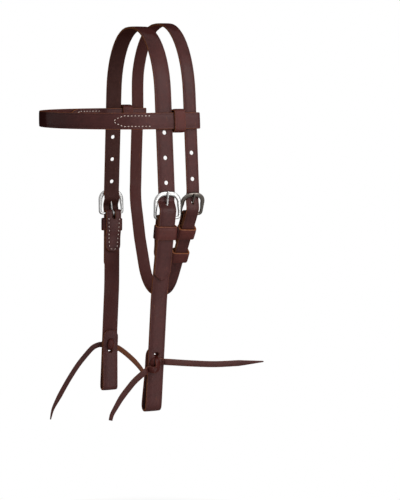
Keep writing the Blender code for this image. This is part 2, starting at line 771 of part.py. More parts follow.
def browband(group):
    """The browband: its ends go round the throatlatch and lie inside, lapped in front of the crown."""
    outer, half = band_outer()
    loop = STRAP_THICK + 2 * BAND_SLACK + BAND_THICK
    lap = BAND_THICK + LAYER_GAP
    rear = outer[0].y
    turn = [Vector((half - loop / 2 + loop / 2 * math.cos(math.pi * step / 8),
                    rear + loop / 2 * math.sin(math.pi * step / 8))) for step in range(1, 8)]
    inner = [Vector((half - loop, rear)), outer[1] - Vector((loop, 0.0))]
    covered = 0.0
    for before, here, after in zip(outer[1:], outer[2:], outer[3:]):
        covered += (here - before).length
        ahead = (after - before).normalized()
        inward = Vector((ahead.y, -ahead.x))
        share = eased(covered / BAND_JOIN_LENGTH)
        inner.append(here + inward * (loop + (lap - loop) * share))
        if covered > BAND_JOIN_LENGTH + BAND_LAP_LENGTH:
            break
    near_end = inner[::-1] + turn[::-1]
    off_end = [Vector((-point.x, point.y)) for point in near_end[::-1]]
    flat = near_end + outer + off_end
    line = [Vector((point.x, point.y, -BAND_DROP)) for point in flat]

    def across(point):
        lie = math.tan(SPLAY) * max(-1.0, min(1.0, point.x / half))
        return Vector((-lie, 0.0, 1.0)).normalized()

    shape = (BAND_TIP_LENGTH, BAND_TIP_SHARES)
    band = ribbon("browband", line, across, BAND_WIDTH, BAND_THICK, LEATHER, group, start=shape, end=shape)
    return smooth(band)


def browband_keeper(side, name, group):
    """A keeper round both layers of the browband, between the crown and the throatlatch."""
    _, half = band_outer()
    loop = STRAP_THICK + 2 * BAND_SLACK + BAND_THICK
    reach = loop / 2 + BAND_THICK / 2 + LAYER_GAP
    tall = BAND_WIDTH / 2 + BAND_KEEPER_LIFT
    corner = KEEPER_THICK
    outer = rounded_box(tall + KEEPER_THICK, -reach - KEEPER_THICK, reach + KEEPER_THICK,
                        corner + KEEPER_THICK, corner + KEEPER_THICK, 4)
    inner = rounded_box(tall, -reach, reach, corner, corner, 4)
    ring = flat_loop(name, outer, inner, BAND_KEEPER_WIDTH, EDGE_ROUND, KEEPER_LEATHER, group)
    gap_start = CROWN_WIDTH / 2
    gap_end = THROAT_SET_BACK - THROAT_WIDTH / 2
    up = Vector((-side * math.sin(SPLAY), 0.0, math.cos(SPLAY)))
    outward = Vector((side * math.cos(SPLAY), 0.0, math.sin(SPLAY)))
    middle = Vector((side * (half - loop / 2), (gap_start + gap_end) / 2, -BAND_DROP))
    ring.matrix_world = frame_matrix(middle, up, outward)
    return smooth(ring)


def curved(keys, steps):
    """A smooth line through these points, with the given steps between two of them."""
    line = []
    for index, (one, other) in enumerate(zip(keys, keys[1:])):
        lead = (other - keys[max(index - 1, 0)]) / 2
        trail = (keys[min(index + 2, len(keys) - 1)] - one) / 2
        for step in range(steps):
            s = step / steps
            line.append(one * (2 * s ** 3 - 3 * s ** 2 + 1) + lead * (s ** 3 - 2 * s ** 2 + s)
                        + other * (3 * s ** 2 - 2 * s ** 3) + trail * (s ** 3 - s ** 2))
    line.append(keys[-1])
    return line


def knot_axis(side):
    """Middle of the half knot, outside the cheek and a little below the middle of its two holes."""
    middle = lace_hole(side, LACE_HOLE_SPACING / 2)
    out = STRAP_THICK + 2 * LAYER_GAP + KNOT_RADIUS + KNOT_STRAND_THICK / 2
    return middle + Vector((side * out, 0.0, -KNOT_DROP))


def knot_strands(side):
    """Both strands of the half knot as (point, face normal), each from its hole to its free end.

    They wind once round each other. The upper hole's strand leaves to the rear at the top, the
    lower hole's to the front at the bottom.
    """
    axis = knot_axis(side)
    out = Vector((side, 0.0, 0.0))
    up = Vector((0.0, 0.0, 1.0))
    strands = []
    for sense, rise in ((1, LACE_HOLE_SPACING), (-1, 0.0)):
        hole = lace_hole(side, rise)
        rear = Vector((0.0, sense, 0.0))
        mouth = hole + out * (STRAP_THICK + LAYER_GAP)
        path = [(hole, up * sense), (mouth, up * sense),
                (mouth + out * KNOT_STRAND_THICK - rear * KNOT_WIDTH / 4 - up * sense * KNOT_STRAND_THICK / 3,
                 (up * sense + out).normalized())]
        for step in range(1, KNOT_STEPS + 1):
            angle = KNOT_TURN * step / KNOT_STEPS
            radial = up * sense * math.cos(angle) + out * math.sin(angle)
            along = rear * (KNOT_WIDTH * (step / KNOT_STEPS - 0.5))
            path.append((axis + along + radial * KNOT_RADIUS, radial))
        leaving = axis + rear * (KNOT_WIDTH / 2) + up * sense * KNOT_RADIUS
        path.append((leaving + rear * KNOT_STRAND_THICK - out * (KNOT_RADIUS / 3), -out + up * sense / 3))
        path.append((leaving + rear * (2 * KNOT_STRAND_THICK), -out))
        strands.append(path)
    return strands


def knot_path(side):
    """The whole tie: one free end, its hole, the bar inside, the other hole and the other end."""
    upper, lower = knot_strands(side)
    back = Vector((-side, 0.0, 0.0))
    inside = back * (STRAP_THICK + 1.5 * LAYER_GAP + KNOT_STRAND_THICK / 2)
    up = Vector((0.0, 0.0, 1.0))
    top, low = upper[0][0], lower[0][0]
    bar = [
        (top + inside - up * KNOT_STRAND_THICK / 2, (up + back).normalized()),
        ((top + low) / 2 + inside, back),
        (low + inside + up * KNOT_STRAND_THICK / 2, (back - up).normalized()),
    ]
    keys = upper[::-1] + bar + lower
    points = curved([point for point, _ in keys], KNOT_CURVE_STEPS)
    normals = curved([normal for _, normal in keys], KNOT_CURVE_STEPS)
    return list(zip(points, normals))


def band_sweep(name, path, width, thick, spec, group):
    """A lace swept along (point, face normal) or (point, face normal, width share) entries.

    Its section is flat with rounded edges.
    """
    section = [(math.copysign(abs(math.cos(angle)) ** 0.7, math.cos(angle)),
                math.copysign(abs(math.sin(angle)) ** 0.7, math.sin(angle)))
               for angle in (math.pi * (step + 0.5) / 4 for step in range(8))]
    mesh = bpy.data.meshes.new(name)
    skin = bmesh.new()
    rings = []
    for index, (point, normal, *share) in enumerate(path):
        half = (share[0] if share else 1.0) * width / 2
        ahead = path[min(index + 1, len(path) - 1)][0] - path[max(index - 1, 0)][0]
        side = ahead.cross(normal).normalized()
        face = side.cross(ahead).normalized()
        rings.append([skin.verts.new(point + side * (x * half) + face * (y * thick / 2))
                      for x, y in section])
    for ring, following in zip(rings, rings[1:]):
        for corner in range(len(section)):
            after = (corner + 1) % len(section)
            skin.faces.new((ring[corner], ring[after], following[after], following[corner]))
    skin.faces.new(rings[0][::-1])
    skin.faces.new(rings[-1])
    bmesh.ops.recalc_face_normals(skin, faces=skin.faces)
    skin.to_mesh(mesh)
    skin.free()
    return link(name, mesh, spec, group)


def lace_tail(name, side, route, sense, group):
    """A free end of the tie: a flat lace that starts at its knot's strand and narrows to a point."""
    strand = knot_strands(side)[0 if sense > 0 else 1]
    tip, before = strand[-1][0], strand[-2][0]
    leaving = (tip - before).normalized()
    start = tip + leaving * TAIL_GAP
    away = start + leaving * LACE_THICK
    keys = [start, away] + [Vector((away.x, y, z)) for y, z in route]
    line = curved(keys, 4)
    along = lengths(line)
    total = along[-1]
    shares = ((0.0, KNOT_STRAND_WIDTH / LACE_WIDTH), (LACE_NECK_LENGTH / total, 1.0),
              (1.0 - LACE_POINT_LENGTH / total, LACE_TAPER_SHARE), (1.0, LACE_TIP_WIDTH / LACE_WIDTH))
    path = []
    for point, distance in zip(line, along):
        path.append((point, Vector((-side, 0.0, 0.0)), table_value(shares, distance / total)))
    return smooth(band_sweep(name, path, LACE_WIDTH, LACE_THICK, LACE_LEATHER, group))


def tie(side, word, rear_route, front_route, group):
    """A bit tie: its knot and its two free tails."""
    smooth(band_sweep(word + "_tie_knot", knot_path(side), KNOT_STRAND_WIDTH, KNOT_STRAND_THICK,
                      LACE_LEATHER, group))
    lace_tail(word + "_tie_rear_tail", side, rear_route, 1, group)
    lace_tail(word + "_tie_front_tail", side, front_route, -1, group)


def build():
    """Builds the headstall from the crown down."""
    clear_scene()
    group = collection_named("western_headstall")
    cutters = collection_named("cutters")
    cutters.hide_render = True
    crown_strap(group, cutters)
    throatlatch_strap(group, cutters)
    browband(group)
    for side, word, keeper_drop in ((NEAR, "near", NEAR_KEEPER_DROP), (OFF, "off", OFF_KEEPER_DROP)):
        end = cheek_end(side)
        place = leaned(side, 0.0, end)
        cheek_strap(side, word + "_cheek_strap", keeper_drop, group, cutters)
        buckle(side, (word + "_buckle_frame", word + "_buckle_tongue"), end, CHEEK_FRAME_WIDTH,
               CHEEK_FRAME_HEIGHT, 0.0, group)
        keeper_ring(word + "_cheek_keeper", side, end, place, keeper_drop, CHEEK_KEEPER_WIDTH,
                    CROWN_WIDTH, keeper_layers(end), group)
        browband_keeper(side, word + "_browband_keeper", group)
    end = throat_end()
    place = leaned(NEAR, THROAT_SET_BACK, end)
    buckle(NEAR, ("throat_buckle_frame", "throat_buckle_tongue"), end, THROAT_FRAME_WIDTH,
           THROAT_FRAME_HEIGHT, THROAT_SET_BACK, group)
    for name, drop in (("throat_fixed_keeper", FIXED_KEEPER_DROP),
                       ("throat_sliding_keeper", SLIDING_KEEPER_DROP)):
        keeper_ring(name, NEAR, end, place, drop, THROAT_KEEPER_WIDTH, THROAT_WIDTH,
                    keeper_layers(end), group)
    tie(NEAR, "near", NEAR_REAR_TAIL, NEAR_FRONT_TAIL, group)
    tie(OFF, "off", OFF_REAR_TAIL, OFF_FRONT_TAIL, group)


build()
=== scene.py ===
"""Looks of a western headstall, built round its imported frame.

Each leather piece is traced through the solid that it stands for, and a finished strap, keeper or
lace is swept along that trace, so it lies where the solid lies. Metres, +Z up, +X the near side,
-Y towards the nose.
"""

import json
import logging
import math
from bisect import bisect_right
from dataclasses import dataclass, replace
from enum import Enum
from typing import Any, Callable, Iterable, Sequence

import bpy
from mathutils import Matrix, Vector
from mathutils.bvhtree import BVHTree

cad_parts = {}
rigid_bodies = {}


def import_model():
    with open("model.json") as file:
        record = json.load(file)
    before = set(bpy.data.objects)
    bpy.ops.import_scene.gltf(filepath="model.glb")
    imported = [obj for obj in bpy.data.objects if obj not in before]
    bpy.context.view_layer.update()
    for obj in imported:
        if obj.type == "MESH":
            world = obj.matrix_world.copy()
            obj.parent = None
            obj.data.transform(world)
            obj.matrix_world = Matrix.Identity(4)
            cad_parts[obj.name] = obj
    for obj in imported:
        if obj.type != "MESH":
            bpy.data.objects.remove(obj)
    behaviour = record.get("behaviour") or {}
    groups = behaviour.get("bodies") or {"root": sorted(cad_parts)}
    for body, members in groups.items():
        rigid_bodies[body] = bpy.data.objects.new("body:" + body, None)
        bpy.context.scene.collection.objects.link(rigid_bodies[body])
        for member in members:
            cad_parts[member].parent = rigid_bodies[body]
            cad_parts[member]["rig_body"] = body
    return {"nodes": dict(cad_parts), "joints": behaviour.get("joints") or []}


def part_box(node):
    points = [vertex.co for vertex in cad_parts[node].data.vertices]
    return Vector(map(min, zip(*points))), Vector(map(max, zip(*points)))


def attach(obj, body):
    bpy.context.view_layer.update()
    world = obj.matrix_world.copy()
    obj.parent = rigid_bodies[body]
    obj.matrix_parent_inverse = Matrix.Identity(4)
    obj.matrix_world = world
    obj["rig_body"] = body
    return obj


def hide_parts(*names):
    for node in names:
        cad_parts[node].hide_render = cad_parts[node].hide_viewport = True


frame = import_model()

LOG = logging.getLogger("headstall")
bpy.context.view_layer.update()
UP = Vector((0.0, 0.0, 1.0))
REAR = Vector((0.0, 1.0, 0.0))
NEARSIDE = Vector((1.0, 0.0, 0.0))
MM = 0.001

Colour = tuple[float, float, float, float]
Triple = tuple[float, float, float]
Pairs = Sequence[tuple[float, float]]

# Routes of the four tails beyond their knots, as (Y, Z), the same points as in the CAD source
NEAR_REAR_TAIL = ((0.0040, -0.3716), (0.0316, -0.3751), (0.0598, -0.3779), (0.0883, -0.3786),
                  (0.1191, -0.3788))
NEAR_FRONT_TAIL = ((-0.0240, -0.3814), (-0.0351, -0.3900), (-0.0442, -0.3999), (-0.0516, -0.4091),
                   (-0.0580, -0.4192), (-0.0622, -0.4265), (-0.0640, -0.4330))
OFF_FRONT_TAIL = ((-0.0195, -0.3850), (-0.0278, -0.3883), (-0.0379, -0.3984), (-0.0480, -0.4104),
                  (-0.0602, -0.4283), (-0.0724, -0.4489), (-0.0794, -0.4621), (-0.0826, -0.4746))
OFF_REAR_TAIL = ((0.0045, -0.3904), (0.0146, -0.3979), (0.0268, -0.4096), (0.0360, -0.4212),
                 (0.0438, -0.4342))


class Slot(Enum):
    """Material slots of the record."""

    LATIGO = "latigo_leather"
    KEEPER = "keeper_leather"
    LACE = "lace_leather"
    STEEL = "polished_steel"


# Tracing


@dataclass
class Row:
    """One place along a traced piece.

    Args:
        centre: Middle of the section.
        along: Direction of the run.
        normal: Out of the shown face.
        half: Half of the width here.
    """

    centre: Vector
    along: Vector
    normal: Vector
    half: float

    @property
    def across(self) -> Vector:
        """Direction of the width."""
        return self.normal.cross(self.along)

    def place(self, v: float, h: float) -> Vector:
        """A place v across the width and h out of the middle of the thickness."""
        return self.centre + self.across * v + self.normal * h


class Solid:
    """A CAD solid that a piece is measured from.

    The two side probes of a row stand at SHARE of its half width. A wall is met again past NUDGE, and two
    walls more than THICKEST apart aren't one layer. A walk goes on by STEP, for LONGEST at most. It asks for
    its end after FIRST_STEPS, and has come round within CLOSED_WITHIN of a step. A tip is a wall less than
    TIP_REACH ahead that faces the walk by SQUARE. The straight way there starts from the last LOOK_BACK rows,
    is centred at TIP_PROBES of the half width, and ends within TIP_WITHIN of a step, after TIP_STEPS at most.
    """

    SHARE = 0.72
    NUDGE = 1e-5
    THICKEST = 0.0046
    STEP = 0.0005
    LONGEST = 2.0
    FIRST_STEPS = 12
    CLOSED_WITHIN = 0.7
    TIP_REACH = 0.0180
    SQUARE = 0.93
    LOOK_BACK = 11
    TIP_PROBES = (-0.3, 0.0, 0.3)
    TIP_WITHIN = 1.2
    TIP_STEPS = 200

    def __init__(self, node: str) -> None:
        """Reads the node's mesh in the row frame.

        Args:
            node: Name of the CAD node.
        """
        self.node = node
        obj = frame["nodes"][node]
        mesh = obj.data
        places = [obj.matrix_world @ vertex.co for vertex in mesh.vertices]
        self.tree = BVHTree.FromPolygons(places, [tuple(face.vertices) for face in mesh.polygons])
        low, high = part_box(node)
        self.low, self.high = Vector(low), Vector(high)
        self.middle = (self.low + self.high) / 2

    def wall(self, point: Vector, direction: Vector) -> tuple[float, Vector] | None:
        """Measures to the wall ahead of a point inside.

        Args:
            point: The point.
            direction: Which way is ahead.

        Returns:
            The distance and the wall's normal, or None where the point isn't inside the solid.
        """
        place, normal, _, distance = self.tree.ray_cast(point, direction)
        if place is None or normal.dot(direction) <= 0:
            return None
        return distance, normal

    def seed(self, start: Vector, direction: Vector) -> Vector:
        """Finds the middle of the first layer that a ray meets.

        Args:
            start: A place outside the solid.
            direction: Which way the ray goes.

        Returns:
            The middle of that layer.
        """
        first = self.tree.ray_cast(start, direction)[0]
        second = self.tree.ray_cast(first + direction * self.NUDGE, direction)[0]
        return (first + second) / 2

    def _probe(self, row: Row, full: float) -> tuple[Row, list[Vector]]:
        """Moves a guessed row into the middle of the solid there.

        Args:
            row: The guess.
            full: Half of the piece's full width.

        Returns:
            The settled row and the two probes beside its middle, fewer at an end.
        """
        mids, faces, probes = [], Vector(), []
        offset = self.SHARE * row.half
        for sign in (-1, 1):
            probe = row.place(sign * offset, 0.0)
            out, back = self.wall(probe, row.normal), self.wall(probe, -row.normal)
            if out and back and out[0] + back[0] < self.THICKEST:
                shift = row.normal * ((out[0] - back[0]) / 2)
                probes.append(probe + shift)
                mids.append(row.centre + shift)
                faces += out[1] - back[1]
        if len(mids) < 2:
            return row, probes
        centre = (mids[0] + mids[1]) / 2
        normal = (faces - row.along * faces.dot(row.along)).normalized()
        half = row.half
        low = self.wall(probes[0], -row.across)
        high = self.wall(probes[1], row.across)
        if low and high:
            half = min(offset + (low[0] + high[0]) / 2, full)
            centre = centre + row.across * ((high[0] - low[0]) / 2)
        return Row(centre, row.along, normal, half), probes

    def trace(self, start: Vector, along: Vector, normal: Vector, half: float) -> tuple[list[Row], bool]:
        """Walks through the solid from a place inside it.

        Args:
            start: A place in the middle of the section.
            along: Direction of the walk.
            normal: Out of the shown face.
            half: Half of the width there.

        Returns:
            The rows, and whether the walk came back to its start.
        """
        row, _ = self._probe(Row(start, along.normalized(), normal.normalized(), half), half)
        rows = [row]
        while len(rows) * self.STEP < self.LONGEST:
            guess = replace(row, centre=row.centre + row.along * self.STEP)
            ahead, probes = self._probe(guess, half)
            if len(probes) < 2:
                break
            turned = (ahead.centre - row.centre).normalized()
            face = (ahead.normal - turned * ahead.normal.dot(turned)).normalized()
            row = Row(ahead.centre, turned, face, ahead.half)
            rows.append(row)
            if len(rows) <= self.FIRST_STEPS:
                continue
            if self._tip_ahead(row):
                break
            if (row.centre - rows[0].centre).length < self.CLOSED_WITHIN * self.STEP:
                return rows[:-1], True
        return self._tipped(rows, half), False

    def _tip_ahead(self, row: Row) -> bool:
        """Tells whether the piece ends a short way ahead, and not in a hole.

        Args:
            row: Where the walk is.

        Returns:
            True if it does.
        """
        if not self.inside(row):
            return False
        place, normal, _, distance = self.tree.ray_cast(row.centre, row.along)
        if place is None or distance > self.TIP_REACH or normal.dot(row.along) < self.SQUARE:
            return False
        short = place - row.along * self.STEP
        beside = [short + row.across * (sign * self.SHARE * row.half) for sign in (-1, 1)]
        return not any(self.within(point, row.normal) for point in beside)

    def _tipped(self, rows: list[Row], full: float) -> list[Row]:
        """Goes on to the tip in a straight line, with only the thickness centred.

        Args:
            rows: The rows of the walk.
            full: Half of the piece's full width.

        Returns:
            The rows with those of the tip.
        """
        out = list(rows)
        along = (out[-1].centre - out[-self.LOOK_BACK].centre).normalized()
        across = (out[-1].across - along * out[-1].across.dot(along)).normalized()
        row = Row(out[-1].centre, along, along.cross(across), out[-1].half)
        for _ in range(self.TIP_STEPS):
            ahead = self.wall(row.centre, row.along)
            if ahead is None:
                break
            if ahead[0] < self.TIP_WITHIN * self.STEP:
                out.append(replace(row, centre=row.centre + row.along * ahead[0]))
                break
            centre = row.centre + row.along * self.STEP
            places = [centre + across * (share * row.half) for share in self.TIP_PROBES]
            walls = [(self.wall(place, row.normal), self.wall(place, -row.normal)) for place in places]
            shifts = [(one[0] - other[0]) / 2 for one, other in walls if one and other]
            if shifts:
                centre += row.normal * (sum(shifts) / len(shifts))
            along = centre - row.centre
            along = (along - across * along.dot(across)).normalized()
            low, high = self.wall(centre, -across), self.wall(centre, across)
            half = min(full, (low[0] + high[0]) / 2) if low and high else row.half
            row = Row(centre, along, along.cross(across), half)
            out.append(row)
        return out

    def within(self, point: Vector, normal: Vector) -> bool:
        """Whether a point has the solid's walls on both sides."""
        return self.wall(point, normal) is not None and self.wall(point, -normal) is not None

    def inside(self, row: Row) -> bool:
        """Whether the middle of this row is leather and not a hole."""
        return self.within(row.centre, row.normal)


@dataclass
class Hole:
    """A hole punched through a strap.

    Args:
        middle: Distance of its middle along the run.
        length: Its size along the run.
        width: Its size across.
    """

    middle: float
    length: float
    width: float

    def half_at(self, u: float) -> float:
        """Measures the hole at one place.

        Args:
            u: Distance along the run.

        Returns:
            Half of its width there, and 0 outside it.
        """
        radius = min(self.width, self.length) / 2
        off = abs(u - self.middle)
        if off >= self.length / 2:
            return 0.0
        beyond = off - (self.length / 2 - radius)
        if beyond <= 0:
            return self.width / 2
        return self.width / 2 * math.sqrt(max(0.0, 1 - (beyond / radius) ** 2))


class Run:
    """The smoothed middle line of a piece, read by its distance from the start.

    A row is averaged with the rows within REACH times SPREAD of it, and two rings of a skin are never closer
    than CLOSEST.
    """

    SPREAD = 0.0007
    REACH = 2.5
    CLOSEST = 0.00015

    def __init__(self, rows: list[Row], closed: bool) -> None:
        """Smooths the rows over a short stretch and measures them.

        Args:
            rows: The traced rows.
            closed: Whether the last row leads on to the first.
        """
        self.closed = closed
        self.rows = self._smoothed(rows)
        self.stops = [0.0]
        for one, other in zip(self.rows, self.rows[1:]):
            self.stops.append(self.stops[-1] + (other.centre - one.centre).length)
        self.length = self.stops[-1]
        if closed:
            self.length += (self.rows[0].centre - self.rows[-1].centre).length

    def _smoothed(self, rows: list[Row]) -> list[Row]:
        """Averages the rows with their neighbours and keeps the ends.

        Args:
            rows: The traced rows.

        Returns:
            The smoothed rows, as many.
        """
        step = (rows[1].centre - rows[0].centre).length
        reach = max(1, round(self.REACH * self.SPREAD / step))
        weights = [math.exp(-0.5 * (k * step / self.SPREAD) ** 2) for k in range(-reach, reach + 1)]
        count = len(rows)
        out = []
        for index, row in enumerate(rows):
            span = reach if self.closed else min(reach, index, count - 1 - index)
            centre, normal, half, total = Vector(), Vector(), 0.0, 0.0
            for k in range(-span, span + 1):
                other = rows[(index + k) % count]
                weight = weights[k + reach]
                centre += other.centre * weight
                normal += other.normal * weight
                half += other.half * weight
                total += weight
            out.append(Row(centre / total, row.along, normal.normalized(), half / total))
        for index, row in enumerate(out):
            before = out[index - 1] if index or self.closed else row
            after = out[(index + 1) % count] if index < count - 1 or self.closed else row
            row.along = (after.centre - before.centre).normalized()
            row.normal = (row.normal - row.along * row.normal.dot(row.along)).normalized()
        return out

    def at(self, u: float) -> Row:
        """Reads the run between its rows.

        Args:
            u: Distance from the start.

        Returns:
            The row there.
        """
        if self.closed:
            u %= self.length
        u = min(max(u, 0.0), self.length)
        high = min(bisect_right(self.stops, u), len(self.stops) - 1)
        one, start = self.rows[high - 1], self.stops[high - 1]
        other, end = self.rows[high], self.stops[high]
        if self.closed and u > self.stops[-1]:
            one, start = self.rows[-1], self.stops[-1]
            other, end = self.rows[0], self.length
        share = (u - start) / max(end - start, 1e-9)
        along = one.along.lerp(other.along, share).normalized()
        normal = one.normal.lerp(other.normal, share)
        normal = (normal - along * normal.dot(along)).normalized()
        return Row(one.centre.lerp(other.centre, share), along, normal,
                   one.half + (other.half - one.half) * share)

    def nearest(self, point: Vector, low: float, high: float) -> float:
        """Finds the row nearest to a point.

        Args:
            point: The point.
            low: Distance along the run where the search starts.
            high: Distance where it ends.

        Returns:
            The distance of that row.
        """
        best, found = math.inf, low
        for row, stop in zip(self.rows, self.stops):
            if low <= stop <= high:
                apart = (row.centre - point).length
                if apart < best:
                    best, found = apart, stop
        return found

    def spaced(self, turn: float, gap: float, dense: Iterable[Triple]) -> list[float]:
        """Picks distances that follow the bends.

        Args:
            turn: Most turn between two of them, in radians.
            gap: Longest step between them.
            dense: Stretches as (from, to, step) that get a step of their own.

        Returns:
            The distances in order.
        """
        picked = [0.0]
        last = self.rows[0]
        for row, stop in zip(self.rows[1:], self.stops[1:]):
            if last.along.angle(row.along, 0.0) > turn or stop - picked[-1] > gap:
                picked.append(stop)
                last = row
        found = set(picked) | ({self.length} if not self.closed else set())
        for low, high, step in dense:
            found = {stop for stop in found if not low <= stop <= high}
            count = max(1, math.ceil((high - low) / step))
            found |= {low + (high - low) * index / count for index in range(count + 1)}
        ordered = sorted(found)
        out = [ordered[0]]
        for stop in ordered[1:]:
            if stop - out[-1] > self.CLOSEST:
                out.append(stop)
        if not self.closed:
            out[-1] = self.length
        return out


def holes_of(solid: Solid, rows: list[Row], width: float) -> list[Hole]:
    """Finds the punched holes that the middle of a traced run passes over.

    Args:
        solid: The solid that was traced.
        rows: The traced rows.
        width: Width that the holes are given.

    Returns:
        The holes in order.
    """
    holes, first, along = [], None, 0.0
    for index, row in enumerate(rows):
        if index:
            along += (row.centre - rows[index - 1].centre).length
        if not solid.inside(row):
            first = along if first is None else first
        elif first is not None:
            holes.append(Hole((first + along) / 2, along - first, width))
            first = None
    return holes


# Skins


def shown(name: str, data: bpy.types.ID) -> bpy.types.Object:
    """Makes an object of a mesh, a lamp or a camera, in the scene's collection.

    Args:
        name: The object's name.
        data: What it holds.

    Returns:
        The object.
    """
    obj = bpy.data.objects.new(name, data)
    bpy.context.scene.collection.objects.link(obj)
    return obj


@dataclass
class Mark:
    """What a finish reads at one point of a skin.

    Args:
        u: Distance along the run.
        v: Distance across it.
        edge: How far this is burnished edge, from 0 to 1.
        flesh: How far this is the rough back of the leather, from 0 to 1.
    """

    u: float
    v: float
    edge: float = 0.0
    flesh: float = 0.0


Section = list[tuple[float, float, Mark]]
"""A section as (across, out, mark)."""


class Skin:
    """Points and faces of one piece, gathered before its mesh is made.

    Faces that meet at more than SHARP degrees keep a sharp edge.
    """

    SHARP = 48.0

    def __init__(self) -> None:
        """Starts with no points."""
        self.points: list[Vector] = []
        self.marks: list[Mark] = []
        self.faces: list[tuple[int, ...]] = []

    def ring(self, places: Iterable[tuple[Vector, Mark]]) -> list[int]:
        """Adds a ring of points.

        Args:
            places: The points, each with what a finish reads there.

        Returns:
            Their numbers.
        """
        first = len(self.points)
        for place, mark in places:
            self.points.append(place)
            self.marks.append(mark)
        return list(range(first, len(self.points)))

    def band(self, ring: list[int], following: list[int], left_out: Iterable[int] = ()) -> None:
        """Joins two rings of points by quads.

        Args:
            ring: Numbers of the first ring's points.
            following: Numbers of the next ring's.
            left_out: Corners that no quad starts from.
        """
        skipped = set(left_out)
        for corner in range(len(ring)):
            if corner not in skipped:
                after = (corner + 1) % len(ring)
                self.faces.append((ring[corner], ring[after], following[after], following[corner]))

    def object(self, name: str, node: str, finish: bpy.types.Material, slot: Slot) -> bpy.types.Object:
        """Makes the piece, on the body of the CAD node that it stands for.

        Args:
            name: The piece's name.
            node: The CAD node.
            finish: Its material.
            slot: The record's slot that it takes its finish from; not used.

        Returns:
            The object, with its place in its mesh.
        """
        mesh = bpy.data.meshes.new(name)
        mesh.from_pydata(self.points, [], self.faces)
        run, edges = mesh.uv_layers.new(name="run"), mesh.uv_layers.new(name="finish")
        for loop in mesh.loops:
            mark = self.marks[loop.vertex_index]
            run.data[loop.index].uv = (mark.u, mark.v)
            edges.data[loop.index].uv = (mark.edge, mark.flesh)
        mesh.materials.append(finish)
        mesh.validate()
        mesh.shade_smooth()
        mesh.set_sharp_from_angle(angle=math.radians(self.SHARP))
        obj = shown(name.replace(" ", "-"), mesh)
        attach(obj, frame["nodes"][node]["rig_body"])
        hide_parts(node)
        LOG.info("%s: %d faces", obj.name, len(mesh.polygons))
        return obj


@dataclass
class StrapCut:
    """Section of a strap cut from a side of leather.

    Args:
        thick: Thickness of the leather.
        corner: Radius that its burnished edges are rounded to.
        crease_in: Distance of the crease line from the edge.
        crease_deep: Depth of the crease line.
        crease_half: Half of its width.
        lip: Width of the pressed ring round a hole.
        lip_drop: How far that ring is pressed in.
        rest: Half width of the middle columns where there is no hole.
        doming: How far the face falls towards the edges.

    The crease is narrower where half of the width is under FULL_HALF. It starts at PLAIN_HALF and has its
    depth CREASE_GROWS further on. ROUND_BACK and ROUND_FACE give the points of a rounded edge as (degrees,
    edge, flesh). Two places closer than SAME are one.
    """

    thick: float
    corner: float = 0.0009
    crease_in: float = 0.0021
    crease_deep: float = 0.00016
    crease_half: float = 0.00034
    lip: float = 0.0005
    lip_drop: float = 0.00022
    rest: float = 0.0022
    doming: float = 0.00022

    FULL_HALF = 0.005
    PLAIN_HALF = 0.0012
    CREASE_GROWS = 0.002
    SAME = 1e-9
    ROUND_BACK = ((-90, 0.05, 1.0), (-55, 0.35, 0.7), (-25, 0.75, 0.3), (0, 1.0, 0.0))
    ROUND_FACE = ((0, 1.0, 0.0), (28, 0.75, 0.0), (58, 0.35, 0.0), (90, 0.05, 0.0))

    TOP_HOLE = (12, 13)
    """Corners of the outline at the right and left rim of a hole, on the shown face."""

    UNDER_HOLE = (27, 28)
    """The same on the back, left and right."""

    def outline(self, u: float, half: float, hole: float, pressed: float, squeeze: float) -> Section:
        """Draws the section, counted from below the right edge round to the left.

        Args:
            u: Distance along the run.
            half: Half of the width here.
            hole: Half of a hole's width here.
            pressed: How far the ring round a hole is pressed in, from 0 to 1.
            squeeze: How far the thickness closes at an end, 1 for not at all.

        Returns:
            The section.
        """
        face = self.thick / 2 * squeeze
        share = min(1.0, half / self.FULL_HALF)
        inset, groove = self.crease_in * share, self.crease_half * share
        radius = min(self.corner, 0.8 * face, 0.45 * half, 0.8 * (inset - groove))
        deep = self.crease_deep * min(1.0, max(0.0, (half - self.PLAIN_HALF) / self.CREASE_GROWS))
        lip = min(self.lip, 0.15 * half)
        hole = min(hole, 0.78 * (half - inset - groove) - lip)
        right, beside = [], half - radius
        levels = (radius - face, face - self.doming - radius)
        for table, level in zip((self.ROUND_BACK, self.ROUND_FACE), levels):
            for degrees, edge, flesh in table:
                x, y = math.cos(math.radians(degrees)), math.sin(math.radians(degrees))
                right.append((beside + radius * x, level + radius * y, edge, flesh))
        top = [(half - inset + groove, 0.0), (half - inset, 0.10), (half - inset - groove, 0.0),
               (hole + lip, 0.0), (hole, 0.55 * pressed)]
        top += [(-v, edge) for v, edge in top[::-1]]
        over = []
        for v, edge in top:
            h = face - self.doming * abs(v / half) ** 3
            h -= deep if abs(abs(v) - (half - inset)) < self.SAME else 0.0
            h -= self.lip_drop * pressed if abs(abs(v) - hole) < self.SAME else 0.0
            over.append((v, h, edge, 0.0))
        left = [(-v, h, edge, flesh) for v, h, edge, flesh in right[::-1]]
        rim = 0.5 * pressed
        under = [(-(hole + lip), -face, 0.0, 1.0), (-hole, -face + self.lip_drop * rim, rim, 1.0)]
        under += [(-v, h, edge, flesh) for v, h, edge, flesh in under[::-1]]
        return [(v, h, Mark(u, v, edge, flesh)) for v, h, edge, flesh in right + over + left + under]


